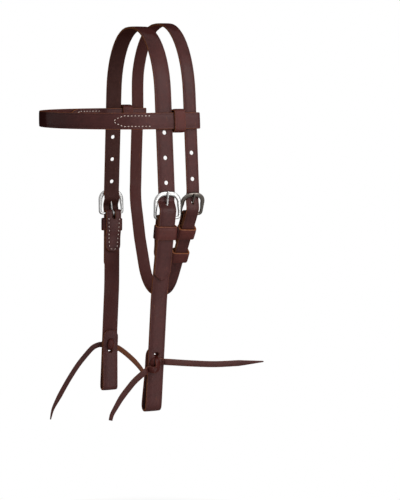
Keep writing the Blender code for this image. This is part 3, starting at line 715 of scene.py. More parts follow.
class Strap:
    """A finished strap swept along a run.

    END_EASE gives (distance from an end, share of the thickness, how far the edges draw in). Rings stand at
    most TURN degrees and GAP apart, IN_HOLE in a hole and at the steps of AT_RIM and AT_TIP, as (from, to,
    step), beside a hole and at a tip. Outside a hole the middle columns go apart from SLIT by OPENING, over
    HOLE_REACH, and the leather is pressed over PRESSED. A ring within TOUCH of a hole is in it, and half of
    the width is never under LEAST_HALF.
    """

    END_EASE = ((0.0, 0.80, 0.00018), (0.00025, 0.94, 0.00004), (0.0006, 1.0, 0.0))
    TURN = 5.0
    GAP = 0.0032
    IN_HOLE = 0.00035
    AT_RIM = (0.0004, 0.0026, 0.0007)
    AT_TIP = ((0.0007, 0.0150, 0.0006), (0.0, 0.0006, 0.0002))
    SLIT = 0.00008
    HOLE_REACH = 0.0030
    OPENING = 0.9
    PRESSED = 0.0006
    TOUCH = 1e-6
    LEAST_HALF = 0.0005

    def __init__(self, run: Run, cut: StrapCut, holes: Sequence[Hole]) -> None:
        """Keeps the run, the section and the holes."""
        self.run, self.cut, self.holes = run, cut, holes

    def _stations(self) -> list[float]:
        """Places the rings, close together at holes and tips.

        Returns:
            Their distances.
        """
        spans = [(hole.middle - hole.length / 2, hole.middle + hole.length / 2) for hole in self.holes]
        dense = [(low, high, self.IN_HOLE) for low, high in spans]
        near, far, step = self.AT_RIM
        for low, high in spans:
            dense += [(low - far, low - near, step), (high + near, high + far, step)]
        if not self.run.closed:
            length = self.run.length
            for low, high, step in self.AT_TIP:
                dense += [(low, high, step), (length - high, length - low, step)]
        return self.run.spaced(math.radians(self.TURN), self.GAP, dense)

    def _hole_at(self, u: float) -> tuple[float, float, Hole | None]:
        """Looks for a hole.

        Args:
            u: Distance along the run.

        Returns:
            Half width of the middle columns, how far they are pressed, and the hole here.
        """
        width, pressed = self.cut.rest, 0.0
        for hole in self.holes:
            off = abs(u - hole.middle) - hole.length / 2
            if off <= self.TOUCH:
                return max(hole.half_at(u), self.SLIT), 1.0, hole
            if off < self.HOLE_REACH:
                width = min(width, self.SLIT + self.OPENING * off)
                pressed = max(pressed, 1.0 - off / self.PRESSED, 0.0)
        return width, pressed, None

    def _end_at(self, u: float) -> tuple[float, float]:
        """Reads END_EASE.

        Args:
            u: Distance along the run.

        Returns:
            The share of the thickness, and how far the edges draw in.
        """
        end = min(u, self.run.length - u)
        if self.run.closed or end > self.END_EASE[-1][0]:
            return 1.0, 0.0
        squeeze = table_value([(at, share) for at, share, _ in self.END_EASE], end)
        return squeeze, table_value([(at, inset) for at, _, inset in self.END_EASE], end)

    def skin(self) -> Skin:
        """Sweeps the section.

        Returns:
            The strap's skin.
        """
        skin = Skin()
        rings, within = [], []
        for u in self._stations():
            row = self.run.at(u)
            squeeze, drawn_in = self._end_at(u)
            hole, pressed, found = self._hole_at(u)
            outline = self.cut.outline(u, max(row.half - drawn_in, self.LEAST_HALF), hole, pressed, squeeze)
            rings.append(skin.ring((row.place(v, h), mark) for v, h, mark in outline))
            within.append(found)
        right, left = self.cut.TOP_HOLE
        back_left, back_right = self.cut.UNDER_HOLE
        pairs = list(zip(rings, rings[1:], within, within[1:]))
        for ring, following, here, there in pairs:
            open_here = here is not None and here is there
            skin.band(ring, following, (right, back_left) if open_here else ())
            if open_here:
                skin.faces.append((ring[back_right], following[back_right], following[right], ring[right]))
                skin.faces.append((ring[left], following[left], following[back_left], ring[back_left]))
        for index, (ring, found) in enumerate(zip(rings, within)):
            if found is None:
                continue
            wall = (ring[back_left], ring[back_right], ring[right], ring[left])
            if within[index - 1] is not found:
                skin.faces.append(wall)
            elif index + 1 < len(within) and within[index + 1] is not found:
                skin.faces.append(wall[::-1])
        if self.run.closed:
            skin.band(rings[-1], rings[0])
        else:
            skin.faces += [tuple(rings[0][::-1]), tuple(rings[-1])]
        return skin


def curved(keys: Sequence[Vector], steps: int) -> list[Vector]:
    """Draws a smooth line through points.

    Args:
        keys: The points.
        steps: Steps between two of them.

    Returns:
        The points of the line.
    """
    line = []
    for index, (one, other) in enumerate(zip(keys, keys[1:])):
        lead = (other - keys[max(index - 1, 0)]) / 2
        trail = (keys[min(index + 2, len(keys) - 1)] - one) / 2
        for step in range(steps):
            s = step / steps
            line.append(one * (2 * s ** 3 - 3 * s ** 2 + 1) + lead * (s ** 3 - 2 * s ** 2 + s)
                        + other * (3 * s ** 2 - 2 * s ** 3) + trail * (s ** 3 - s ** 2))
    line.append(keys[-1])
    return line


def lengths(line: Sequence[Vector]) -> list[float]:
    """Measures along a line of points.

    Args:
        line: The points.

    Returns:
        Their distances from the first.
    """
    out = [0.0]
    for one, other in zip(line, line[1:]):
        out.append(out[-1] + (other - one).length)
    return out


def table_value(table: Pairs, at: float) -> float:
    """Reads a table between its entries.

    Args:
        table: Pairs of a place and a value.
        at: The place.

    Returns:
        The value there.
    """
    if at <= table[0][0]:
        return table[0][1]
    for (low, one), (high, other) in zip(table, table[1:]):
        if at <= high:
            return one + (other - one) * (at - low) / (high - low)
    return table[-1][1]


def squared(angle: float, power: float) -> tuple[float, float]:
    """Draws a rounded square of half side 1.

    Args:
        angle: Which way its point lies, roughly.
        power: How square it is, 2 for a circle.

    Returns:
        The point.
    """
    c, s = math.cos(angle), math.sin(angle)
    return (math.copysign(abs(c) ** (2 / power), c), math.copysign(abs(s) ** (2 / power), s))


# Buckles


@dataclass
class BuckleShape:
    """Sizes of a cast buckle that its CAD solid can't be measured for.

    Args:
        thick: Thickness of the bars.
        power: How square their section is, 2 for round.
        wire: Diameter of the tongue's wire.
        eye: Radius of its eye, to the middle of the wire.
        slide: How far from the middle the tongue's eye lies.
        overhang: How far its tip reaches past the top bar.
        broad: How much further inward the frame reaches beside and above the strap than its solid does.
    """

    thick: float = 0.0028
    power: float = 2.5
    wire: float = 0.0022
    eye: float = 0.0032
    slide: float = 0.0
    overhang: float = 0.0002
    broad: float = 0.0011


class Buckle:
    """A frame buckle with its tongue, measured from its CAD solid.

    The frame has AROUND sections of SECTION points. BROAD says how much of the shape's broad a section gets,
    by the sine of its angle. The tongue's eye runs through the degrees of EYE, its shank has SHANK steps, and
    its wire WIRE points. It clears the frame by CLEAR, is flattened to AT_EYE and AT_TIP of its thickness, at
    the tip over POINTED, and its end is rounded by ROUNDED of the wire.
    """

    AROUND = 120
    SECTION = 18
    BROAD = ((-0.50, 0.0), (0.05, 1.0))
    EYE = range(-160, 91, 10)
    SHANK = 14
    WIRE = 16
    CLEAR = 0.0003
    AT_EYE = 0.86
    AT_TIP = 0.78
    POINTED = 0.004
    ROUNDED = 0.22

    def __init__(self, prefix: str, hinge: Vector, out: Vector, shape: BuckleShape) -> None:
        """Finds the plane of the frame and its two outlines.

        Args:
            prefix: First word of its nodes' names.
            hinge: A place on the line it turns about.
            out: Roughly out of its shown face.
            shape: The sizes.
        """
        self.prefix, self.shape, self.hinge = prefix, shape, hinge
        solid = Solid(prefix + "_buckle_frame")
        up = solid.middle - hinge
        self.up = Vector((up.x, 0.0, up.z)).normalized()
        self.side = REAR.copy()
        self.out = self.side.cross(self.up).normalized()
        if self.out.dot(out) < 0:
            self.side.negate()
            self.out.negate()
        self.middle = solid.middle
        inner, outer = [], []
        for index in range(self.AROUND):
            _, ray = self._ray(index)
            place, _, _, near = solid.tree.ray_cast(self.middle, ray)
            far = solid.tree.ray_cast(place + ray * Solid.NUDGE, ray)[3]
            inner.append(near)
            outer.append(near + far)
        self.inner, self.outer = self._softened(inner), self._softened(outer)

    def _ray(self, index: int) -> tuple[float, Vector]:
        """The sine of a section's angle, and its direction from the middle."""
        angle = 2 * math.pi * index / self.AROUND
        return math.sin(angle), self.side * math.cos(angle) + self.up * math.sin(angle)

    @staticmethod
    def _softened(radii: list[float]) -> list[float]:
        """Takes the facets out of an outline."""
        count = len(radii)
        return [(radii[i - 1] + 2 * radii[i] + radii[(i + 1) % count]) / 4 for i in range(count)]

    def frame_skin(self) -> Skin:
        """Lofts the frame between its outlines.

        Returns:
            The frame's skin.
        """
        skin, rings = Skin(), []
        for index in range(self.AROUND):
            sine, ray = self._ray(index)
            inner = self.inner[index] - self.shape.broad * table_value(self.BROAD, sine)
            centre = (inner + self.outer[index]) / 2
            half = (self.outer[index] - inner) / 2
            section = []
            for step in range(self.SECTION):
                x, y = squared(2 * math.pi * step / self.SECTION, self.shape.power)
                place = self.middle + ray * (centre + x * half) + self.out * (y * self.shape.thick / 2)
                section.append((place, Mark(index / self.AROUND, step / self.SECTION)))
            rings.append(skin.ring(section))
        for ring, following in zip(rings, rings[1:] + rings[:1]):
            skin.band(following, ring)
        return skin

    def tongue_skin(self) -> Skin:
        """Bends the tongue: a wire with an eye round the heel bar, its tip on the top bar.

        Returns:
            The tongue's skin.
        """
        eye, wire = self.shape.eye, self.shape.wire
        rest = self.shape.thick / 2 + wire / 2 + self.CLEAR
        reach = (self.middle - self.hinge).length + self.outer[self.AROUND // 4] + self.shape.overhang
        flat = [(-eye * math.cos(math.radians(a)), eye * math.sin(math.radians(a))) for a in self.EYE]
        eyes = len(flat)
        start = Vector(flat[-1])
        for step in range(1, self.SHANK + 1):
            share = step / self.SHANK
            flat.append((start.x + (reach - start.x) * share, start.y + (rest - start.y) * share))
        last = len(flat) - 1
        line = []
        for index, (y, h) in enumerate(flat):
            aside = self.shape.slide * min(1.0, (last - index) / self.SHANK)
            line.append(self.hinge + self.side * aside + self.up * y + self.out * h)
        along = lengths(line)
        table = ((0.0, self.AT_EYE), (along[eyes - 1], 1.0),
                 (along[-1] - self.POINTED, 1.0), (along[-1], self.AT_TIP))
        skin, rings = Skin(), []
        for index, (point, distance) in enumerate(zip(line, along)):
            ahead = (line[min(index + 1, last)] - line[max(index - 1, 0)]).normalized()
            flat_share = table_value(table, distance)
            rings.append(self._wire_ring(skin, point, ahead, wire / 2 * flat_share, distance))
        ahead = (line[-1] - line[-2]).normalized()
        tip = line[-1] + ahead * (wire * self.ROUNDED)
        rings.append(self._wire_ring(skin, tip, ahead, wire * self.ROUNDED, along[-1]))
        for ring, following in zip(rings, rings[1:]):
            skin.band(following, ring)
        skin.faces.append(tuple(rings[0]))
        skin.faces.append(tuple(rings[-1][::-1]))
        return skin

    def _wire_ring(self, skin: Skin, point: Vector, ahead: Vector, radius: float, u: float) -> list[int]:
        """Adds one round section of the tongue.

        Args:
            skin: The tongue's skin.
            point: Middle of the section.
            ahead: Direction of the wire.
            radius: Radius of the section.
            u: Distance along the wire.

        Returns:
            Numbers of its points.
        """
        lift = ahead.cross(self.side).normalized()
        ring = []
        for step in range(self.WIRE):
            angle = 2 * math.pi * step / self.WIRE
            place = point + self.side * (math.cos(angle) * radius) + lift * (math.sin(angle) * radius)
            ring.append((place, Mark(u, step / self.WIRE)))
        return skin.ring(ring)

    def make(self, finish: bpy.types.Material) -> None:
        """Builds both pieces."""
        for word, skin in (("frame", self.frame_skin()), ("tongue", self.tongue_skin())):
            skin.object(f"{self.prefix} buckle {word}", f"{self.prefix}_buckle_{word}", finish, Slot.STEEL)


# Laces


@dataclass
class LaceCut:
    """Section of the flat lace of a tie.

    Args:
        width: Its full width.
        thick: Its thickness.
        groove: Depth of the stretch lines along it.
        power: How square the section is, 2 for an ellipse.

    The section has COUNT points. From FLAT of its half width outward it is cut edge, wholly so after EDGE
    more, on the shown face by FACE_EDGE of that. LINES sets how many stretch lines there are, and they lie
    beyond GROOVED of the half thickness. The rough back starts at BACK_AT of it.
    """

    width: float = 0.0064
    thick: float = 0.0020
    groove: float = 0.00007
    power: float = 3.0

    COUNT = 24
    FLAT = 0.80
    EDGE = 0.15
    FACE_EDGE = 0.85
    LINES = 5.0
    GROOVED = 0.5
    BACK_AT = 0.3

    def outline(self, u: float, half: float, back_shown: bool) -> Section:
        """Draws the section, counted from the right side round to the left.

        Args:
            u: Distance along the lace.
            half: Half of its width here.
            back_shown: Whether its rough back is outside.

        Returns:
            The section.
        """
        points = []
        for step in range(self.COUNT):
            x, y = squared(2 * math.pi * step / self.COUNT, self.power)
            line = math.cos(self.LINES * math.pi * x) * self.groove * (1.0 if abs(x) < self.FLAT else 0.0)
            h = y * (self.thick / 2 + (line if abs(y) > self.GROOVED else 0.0))
            edge = max(0.0, min(1.0, (abs(x) - self.FLAT) / self.EDGE)) * (self.FACE_EDGE if y > 0 else 1.0)
            back = (y > self.BACK_AT) if back_shown else (y < -self.BACK_AT)
            points.append((x * half, h, Mark(u, x * half, edge, 1.0 if back else 0.0)))
        return points


class Lace:
    """A lace swept along a line, with its faces turned as asked."""

    def __init__(self, cut: LaceCut, line: Sequence[Vector], normals: Sequence[Vector],
                 widths: Callable[[float], float], back_shown: bool = False) -> None:
        """Keeps what it is swept from.

        Args:
            cut: Its section.
            line: Its middle line.
            normals: Out of its face at each point of the line.
            widths: Half of its width by the distance along it.
            back_shown: Whether its rough back is outside.
        """
        self.cut, self.line, self.normals = cut, list(line), list(normals)
        self.widths, self.back_shown = widths, back_shown
        self.along = lengths(self.line)

    def skin(self) -> Skin:
        """Sweeps the section and closes both ends.

        Returns:
            The lace's skin.
        """
        skin, rings = Skin(), []
        last = len(self.line) - 1
        for index, (point, normal, u) in enumerate(zip(self.line, self.normals, self.along)):
            ahead = (self.line[min(index + 1, last)] - self.line[max(index - 1, 0)]).normalized()
            across = normal.cross(ahead).normalized()
            face = ahead.cross(across).normalized()
            outline = self.cut.outline(u, self.widths(u), self.back_shown)
            rings.append(skin.ring((point + across * v + face * h, mark) for v, h, mark in outline))
        for ring, following in zip(rings, rings[1:]):
            skin.band(ring, following)
        skin.faces.append(tuple(rings[0][::-1]))
        skin.faces.append(tuple(rings[-1]))
        return skin


@dataclass
class Tail:
    """A free end of a tie.

    Args:
        name: The piece's name.
        node: Its CAD node.
        route: Places that it goes through, from under its knot to its tip.
        back_shown: Whether its rough back is outside.
        tip: Width of its tip.

    Its line has STEPS between two places of the route. It narrows to TAPER of its width down to its point,
    which is POINT_LENGTH long.
    """

    name: str
    node: str
    route: list[Vector]
    back_shown: bool
    tip: float

    STEPS = 12
    POINT_LENGTH = 0.0300
    TAPER = 0.94

    def make(self, cut: LaceCut, finish: bpy.types.Material) -> None:
        """Args:
            cut: Its section.
            finish: Its material.
        """
        side = math.copysign(1.0, self.route[0].x)
        line = curved(self.route, self.STEPS)
        total = lengths(line)[-1]
        table = ((0.0, 1.0), (1.0 - self.POINT_LENGTH / total, self.TAPER), (1.0, self.tip / cut.width))
        lace = Lace(cut, line, [Vector((side, 0.0, 0.0))] * len(line),
                    lambda u: cut.width / 2 * table_value(table, u / total), self.back_shown)
        obj = lace.skin().object(self.name, self.node, finish, Slot.LACE)
        LOG.info("%s is %.1f mm long", self.name, total / MM)


@dataclass
class Tie:
    """A half knot over two holes of a bit loop, with its two tails.

    Places in its tables are (rearward, up, out) from the knot's middle, in mm. A turned tie swaps rearward
    and forward.

    Args:
        side: 1 on the near side and -1 on the off side.
        turned: 1 as in the tables, -1 turned.
        word: First word of its names.
        upper: Upper hole, in the middle of both layers.
        lower: Lower hole.
        under: Route of the tail that leaves under the knot, as Y and Z.
        over: Route of the other tail.
        width: Full width of the lace.
        under_start: How the first tail comes out from under the knot.
        over_start: How the other tail does.
        lift: How much higher the knot lies than in the tables, in mm.
        raised: How much higher the lace inside lies in the upper hole, in mm.
        back_shown: Whether the tail that leaves under the knot has its rough back outside.
        tips: Widths of the tips, of the tail that leaves under the knot and of the other.

    The knot's middle lies OUT beyond the strap's and DROP below that of the two holes. Its lace has STEPS
    between two places, and its tails lie ROUTE_OUT further out.
    """

    side: int
    turned: int
    word: str
    upper: Vector
    lower: Vector
    under: Pairs
    over: Pairs
    width: float
    under_start: Sequence[Triple] = ((1.2, 2.6, -3.4), (5.5, 2.1, -3.0), (8.4, 1.7, -1.2))
    over_start: Sequence[Triple] = ((-4.4, -5.4, -3.4), (-9.0, -5.6, -3.1), (-12.0, -6.9, -1.4))
    lift: float = 0.0
    raised: float = 0.0
    back_shown: bool = False
    tips: tuple[float, float] = (0.0016, 0.0016)

    OUT = 0.00751
    DROP = 0.0022
    STEPS = 8
    ROUTE_OUT = 0.0003

    UNDER_STRAND = (
        ((-0.3, -2.0, -7.6), (0, -1, 0.1), 4.4),
        ((-0.5, -1.8, -5.2), (0, -1, 0.3), 4.8),
        ((-1.6, -2.6, -3.2), (-0.1, -0.4, 1), 7.4),
        ((-3.6, -0.4, -2.4), (-0.35, 0.1, 1), 8.6),
        ((-3.0, 3.0, -2.8), (-0.2, 0.4, 1), 7.6),
        ((-0.6, 3.4, -3.4), (0.0, 0.1, 1), 5.8),
        ((2.4, 2.6, -3.5), (0.1, 0.0, 1), 5.8),
    )
    """From the lower hole up and round to the tail that leaves under the knot: place, face and width."""

    OVER_STRAND = (
        ((0.2, 6.4, -7.6), (0, 1, 0.1), 4.4),
        ((0.1, 6.4, -5.2), (0, 1, 0.2), 4.6),
        ((-0.2, 6.0, -2.6), (0, 0.8, 0.8), 4.8),
        ((-0.4, 4.2, -0.6), (0.1, 0.5, 1), 5.6),
        ((0.0, 1.0, 0.3), (0.6, 0.1, 1), 7.0),
        ((-0.2, -2.6, 0.7), (0.6, -0.2, 1), 7.4),
        ((-1.4, -5.2, 1.8), (0.3, -0.3, 1), 7.4),
        ((-4.8, -6.0, 2.4), (-0.1, 0.25, 1), 7.4),
        ((-8.2, -5.6, 0.9), (-0.6, 0.1, 0.8), 7.0),
        ((-10.0, -5.6, -1.2), (-1, 0.1, 0.2), 6.4),
    )
    """From the upper hole down over the knot and round its foot."""

    BAR = (
        ("upper", -1.2, -0.5, 1, 0.0, 4.4), ("upper", -0.9, 2.6, 1, 0.2, 4.8),
        ("upper", -1.0, 4.2, 0.8, 0.6, 4.8), ("upper", -3.0, 5.5, 0.35, 1, 6.6),
        ("upper", -5.8, 6.1, 0.0, 1, 8.4), ("lower", 4.2, 5.6, -0.3, 1, 7.4),
        ("lower", 2.6, 4.2, -0.7, 0.7, 5.2), ("lower", 1.8, 2.6, -1, 0.2, 4.6),
        ("lower", 1.7, -0.5, -1, 0.0, 4.4))
    """Inside the strap: hole, distance up from it and inward, face as up and inward, and width."""

    @property
    def axis(self) -> Vector:
        """Middle of the knot."""
        return (self.upper + self.lower) / 2 + Vector((self.side * self.OUT, 0.0, -self.DROP))

    def _turn(self, way: Triple) -> Vector:
        """A table's (rearward, up, out) as a direction."""
        rear, up, out = way
        return Vector((self.side * out, self.turned * rear, up))

    def tails(self) -> list[Tail]:
        """Lays out both tails.

        Returns:
            The tail that leaves under the knot, then the other.
        """
        made = []
        for table, route, sense, back, tip in (
                (self.under_start, self.under, self.turned, self.back_shown, self.tips[0]),
                (self.over_start, self.over, -self.turned, False, self.tips[1])):
            word = "rear" if sense > 0 else "front"
            keys = [self.axis + self._turn(place) * MM for place in table]
            keys += [Vector((self.axis.x + self.side * self.ROUTE_OUT, y, z)) for y, z in route]
            made.append(Tail(f"{self.word} tie {word} tail", f"{self.word}_tie_{word}_tail", keys, back, tip))
        return made

    def _strand(self, table: Sequence[tuple[Triple, Triple, float]]) -> list[tuple[Vector, Vector, float]]:
        """Lays out one strand.

        Args:
            table: UNDER_STRAND or OVER_STRAND.

        Returns:
            Its places, faces and widths, in metres.
        """
        strand = []
        for index, (place, face, width) in enumerate(table):
            lift = UP * (self.lift * MM * min(1.0, max(0, index - 1) / 2))
            place = self.axis + self._turn(place) * MM + lift
            strand.append((place, self._turn(face).normalized(), width * MM))
        return strand

    def _bar(self) -> list[tuple[Vector, Vector, float]]:
        """Lays out the lace inside the strap, from the upper hole down to the lower one.

        Returns:
            Its places, faces and widths, in metres.
        """
        made = []
        for word, up, inward, face_up, face_in, width in self.BAR:
            hole = self.upper if word == "upper" else self.lower
            up += self.raised if word == "upper" else 0.0
            place = hole + Vector((-self.side * inward, 0.0, up)) * MM
            made.append((place, Vector((-self.side * face_in, 0.0, face_up)).normalized(), width * MM))
        return made

    def make(self, cut: LaceCut, finish: bpy.types.Material) -> None:
        """Builds the knot as one lace through both holes.

        Args:
            cut: Its section.
            finish: Its material.
        """
        keys = self._strand(self.OVER_STRAND)[::-1] + self._bar() + self._strand(self.UNDER_STRAND)
        points = curved([place for place, _, _ in keys], self.STEPS)
        normals = [normal.normalized() for normal in curved([face for _, face, _ in keys], self.STEPS)]
        widths = [key.x for key in curved([Vector((width, 0.0, 0.0)) for _, _, width in keys], self.STEPS)]
        table = list(zip(lengths(points), widths))
        knot = Lace(cut, points, normals, lambda u: table_value(table, u) / 2)
        knot.skin().object(self.word + " tie knot", self.word + "_tie_knot", finish, Slot.LACE)


# Node trees

Socket = bpy.types.NodeSocket
Value = float | Socket


class Wiring:
    """Short calls for the nodes of one tree."""

    def __init__(self, tree: bpy.types.NodeTree) -> None:
        """Keeps the tree."""
        self.tree = tree

    def node(self, kind: str, values: dict[str | int, Any] | None = None, **settings: Any) -> bpy.types.Node:
        """Adds a node.

        Args:
            kind: Its type.
            values: What its inputs get, by name or number: a value, or an output to link.
            settings: Its properties.

        Returns:
            The node.
        """
        node = self.tree.nodes.new(kind)
        for name, value in settings.items():
            setattr(node, name, value)
        for name, value in (values or {}).items():
            socket = node.inputs[name]
            if isinstance(value, Socket):
                self.tree.links.new(value, socket)
            else:
                socket.default_value = value
        return node

    def math(self, operation: str, one: Value, other: Value = 0.0, clamp: bool = False) -> Socket:
        """The result of an operation on two values."""
        values = {0: one, 1: other}
        return self.node("ShaderNodeMath", values, operation=operation, use_clamp=clamp).outputs[0]

    def times(self, one: Value, other: Value, clamp: bool = False) -> Socket:
        """The product of two values."""
        return self.math("MULTIPLY", one, other, clamp)

    def plus(self, one: Value, other: Value, clamp: bool = False) -> Socket:
        """Two values added up."""
        return self.math("ADD", one, other, clamp)

    def mixed(self, share: Value, one: Socket | Colour, other: Colour) -> Socket:
        """A mix of two colours."""
        return self.node("ShaderNodeMix", {0: share, 6: one, 7: other}, data_type="RGBA").outputs[2]

    def spread(self, value: Socket, low: float, high: float,
               to_low: float = 0.0, to_high: float = 1.0) -> Socket:
        """Maps a value from one range to another and holds it there."""
        values = {0: value, 1: low, 2: high, 3: to_low, 4: to_high}
        return self.node("ShaderNodeMapRange", values, clamp=True).outputs[0]

    def noise(self, vector: Socket, scale: float, detail: float = 4.0, roughness: float = 0.55) -> Socket:
        """Noise at this scale, its value."""
        values = {"Vector": vector, "Scale": scale, "Detail": detail, "Roughness": roughness}
        return self.node("ShaderNodeTexNoise", values).outputs[0]

    def stretched(self, vector: Socket, factors: Triple) -> Socket:
        """The vector times three factors."""
        return self.node("ShaderNodeVectorMath", {0: vector, 1: factors}, operation="MULTIPLY").outputs[0]

    def bump(self, height: Socket, distance: float, strength: float) -> Socket:
        """The normal of a surface with this height."""
        values = {"Strength": strength, "Distance": distance, "Height": height}
        return self.node("ShaderNodeBump", values).outputs[0]

    def group(self, tree: bpy.types.NodeTree, **values: Value) -> bpy.types.bpy_prop_collection:
        """A shared group with these inputs, its outputs."""
        return self.node("ShaderNodeGroup", values, node_tree=tree).outputs


class NodeGroup(Wiring):
    """A node group with its own wiring."""

    def __init__(self, name: str, inputs: dict[str, str], outputs: dict[str, str],
                 kind: str = "ShaderNodeTree") -> None:
        """Makes the group and its sockets.

        Args:
            name: Its name.
            inputs: Kinds of its inputs by name.
            outputs: Kinds of its outputs by name.
            kind: Kind of the tree.
        """
        super().__init__(bpy.data.node_groups.new(name, kind))
        for side, sockets in (("INPUT", inputs), ("OUTPUT", outputs)):
            for socket, sort in sockets.items():
                self.tree.interface.new_socket(socket, in_out=side, socket_type="NodeSocket" + sort)
        self.given = self.tree.nodes.new("NodeGroupInput").outputs

    def gives(self, **values: Socket) -> bpy.types.NodeTree:
        """Links these outputs and returns the group."""
        self.node("NodeGroupOutput", values)
        return self.tree


# Stitches

Sewn = list[tuple[Vector, Vector]]
"""Places of a row of stitches, each with the direction out of the leather there."""


@dataclass
class Thread:
    """Size and spacing of a row of stitches.

    Args:
        pitch: Distance from one stitch to the next.
        length: Length of one stitch.
        radius: Radius of the thread.
        sunk: How far it is pulled into the leather, as a share of its radius.
        lean: Angle of a stitch across its row, in radians.
        seed: Start of the small differences between stitches.
    """

    pitch: float = 0.0037
    length: float = 0.0019
    radius: float = 0.00046
    sunk: float = 0.35
    lean: float = 0.10
    seed: int = 4


class StitchRows:
    """Rows of stitches laid as geometry along lines on the leather.

    A stitch has SIDES round it and RINGS along it, and its lean varies between CHANCE shares of the thread's.
    """

    SIDES = 8
    RINGS = 6
    CHANCE = (0.6, 1.4)

    def __init__(self, thread: Thread, finish: bpy.types.Material) -> None:
        """Builds the tree that lays them: one stitch at every pitch, along its row and out of the leather.

        Args:
            thread: Their thread.
            finish: Its material.
        """
        self.thread = thread
        wire = NodeGroup(
            "stitch rows", {"Geometry": "Geometry", "Pitch": "Float", "Length": "Float", "Radius": "Float",
                            "Lean": "Float", "Seed": "Int"}, {"Geometry": "Geometry"}, "GeometryNodeTree")
        given = wire.given
        curve = wire.node("GeometryNodeMeshToCurve", {"Mesh": given["Geometry"]}).outputs["Curve"]
        spaced = wire.node("GeometryNodeResampleCurve", {
            "Curve": curve, "Length": given["Pitch"]}, mode="LENGTH")
        ball = wire.node("GeometryNodeMeshUVSphere", {
            "Segments": self.SIDES, "Rings": self.RINGS, "Radius": 1.0})
        size = wire.node("ShaderNodeCombineXYZ", {
            "X": given["Radius"], "Y": given["Radius"], "Z": wire.times(given["Length"], 0.5)})
        shaped = wire.node("GeometryNodeTransform", {
            "Geometry": ball.outputs["Mesh"], "Scale": size.outputs["Vector"]})
        lying = wire.node("FunctionNodeAlignRotationToVector", {
            "Vector": wire.node("GeometryNodeInputTangent").outputs["Tangent"]}, axis="Z")
        face = wire.node("GeometryNodeInputNamedAttribute", {"Name": "face"}, data_type="FLOAT_VECTOR")
        facing = wire.node("FunctionNodeAlignRotationToVector", {
            "Rotation": lying.outputs["Rotation"], "Vector": face.outputs["Attribute"]},
            axis="X", pivot_axis="Z")
        chance = wire.node("FunctionNodeRandomValue", data_type="FLOAT")
        chance.inputs["Min"].default_value, chance.inputs["Max"].default_value = self.CHANCE
        wire.tree.links.new(given["Seed"], chance.inputs["Seed"])
        lean = wire.node("ShaderNodeCombineXYZ", {"X": wire.times(given["Lean"], chance.outputs["Value"])})
        local = wire.node("FunctionNodeEulerToRotation", {"Euler": lean.outputs["Vector"]})
        tilted = wire.node("FunctionNodeRotateRotation", {
            "Rotation": facing.outputs["Rotation"], "Rotate By": local.outputs["Rotation"]},
            rotation_space="LOCAL")
        laid = wire.node("GeometryNodeInstanceOnPoints", {
            "Points": spaced.outputs["Curve"], "Instance": shaped.outputs["Geometry"],
            "Rotation": tilted.outputs["Rotation"]})
        real = wire.node("GeometryNodeRealizeInstances", {"Geometry": laid.outputs["Instances"]})
        painted = wire.node("GeometryNodeSetMaterial", {
            "Geometry": real.outputs["Geometry"], "Material": finish})
        self.tree = wire.gives(Geometry=painted.outputs["Geometry"])

    def lay(self, name: str, node: str, rows: Sequence[Sewn]) -> None:
        """Lays stitches along rows and makes them a plain mesh.

        Args:
            name: The piece's name.
            node: The CAD node whose body they are sewn to.
            rows: The rows, each at least two places long.
        """
        thread = self.thread
        lift = thread.radius * (1.0 - thread.sunk)
        points, edges, faces = [], [], []
        for row in rows:
            first = len(points)
            for place, face in row:
                points.append(place + face * lift)
                faces.extend(face)
            edges += [(index, index + 1) for index in range(first, len(points) - 1)]
        guide = bpy.data.meshes.new(name + " guide")
        guide.from_pydata(points, edges, [])
        marks = guide.attributes.new("face", "FLOAT_VECTOR", "POINT")
        marks.data.foreach_set("vector", faces)
        holder = shown(name + " guide", guide)
        modifier = holder.modifiers.new("stitches", "NODES")
        modifier.node_group = self.tree
        values = {"Pitch": thread.pitch, "Length": thread.length, "Radius": thread.radius,
                  "Lean": thread.lean, "Seed": thread.seed}
        for item in self.tree.interface.items_tree:
            if item.name in values:
                modifier[item.identifier] = values[item.name]
        graph = bpy.context.evaluated_depsgraph_get()
        mesh = bpy.data.meshes.new_from_object(holder.evaluated_get(graph), depsgraph=graph)
        mesh.name = name
        bpy.data.objects.remove(holder, do_unlink=True)
        mesh.shade_smooth()
        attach(shown(name.replace(" ", "-"), mesh), frame["nodes"][node]["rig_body"])
        LOG.info("%s: %d faces", name, len(mesh.polygons))


# Finishes


def new_material(name: str) -> tuple[bpy.types.Material, Wiring]:
    """Makes an empty material.

    Args:
        name: Its name.

    Returns:
        The material and its wiring.
    """
    material = bpy.data.materials.new(name)
    material.use_nodes = True
    material.node_tree.nodes.clear()
    return material, Wiring(material.node_tree)


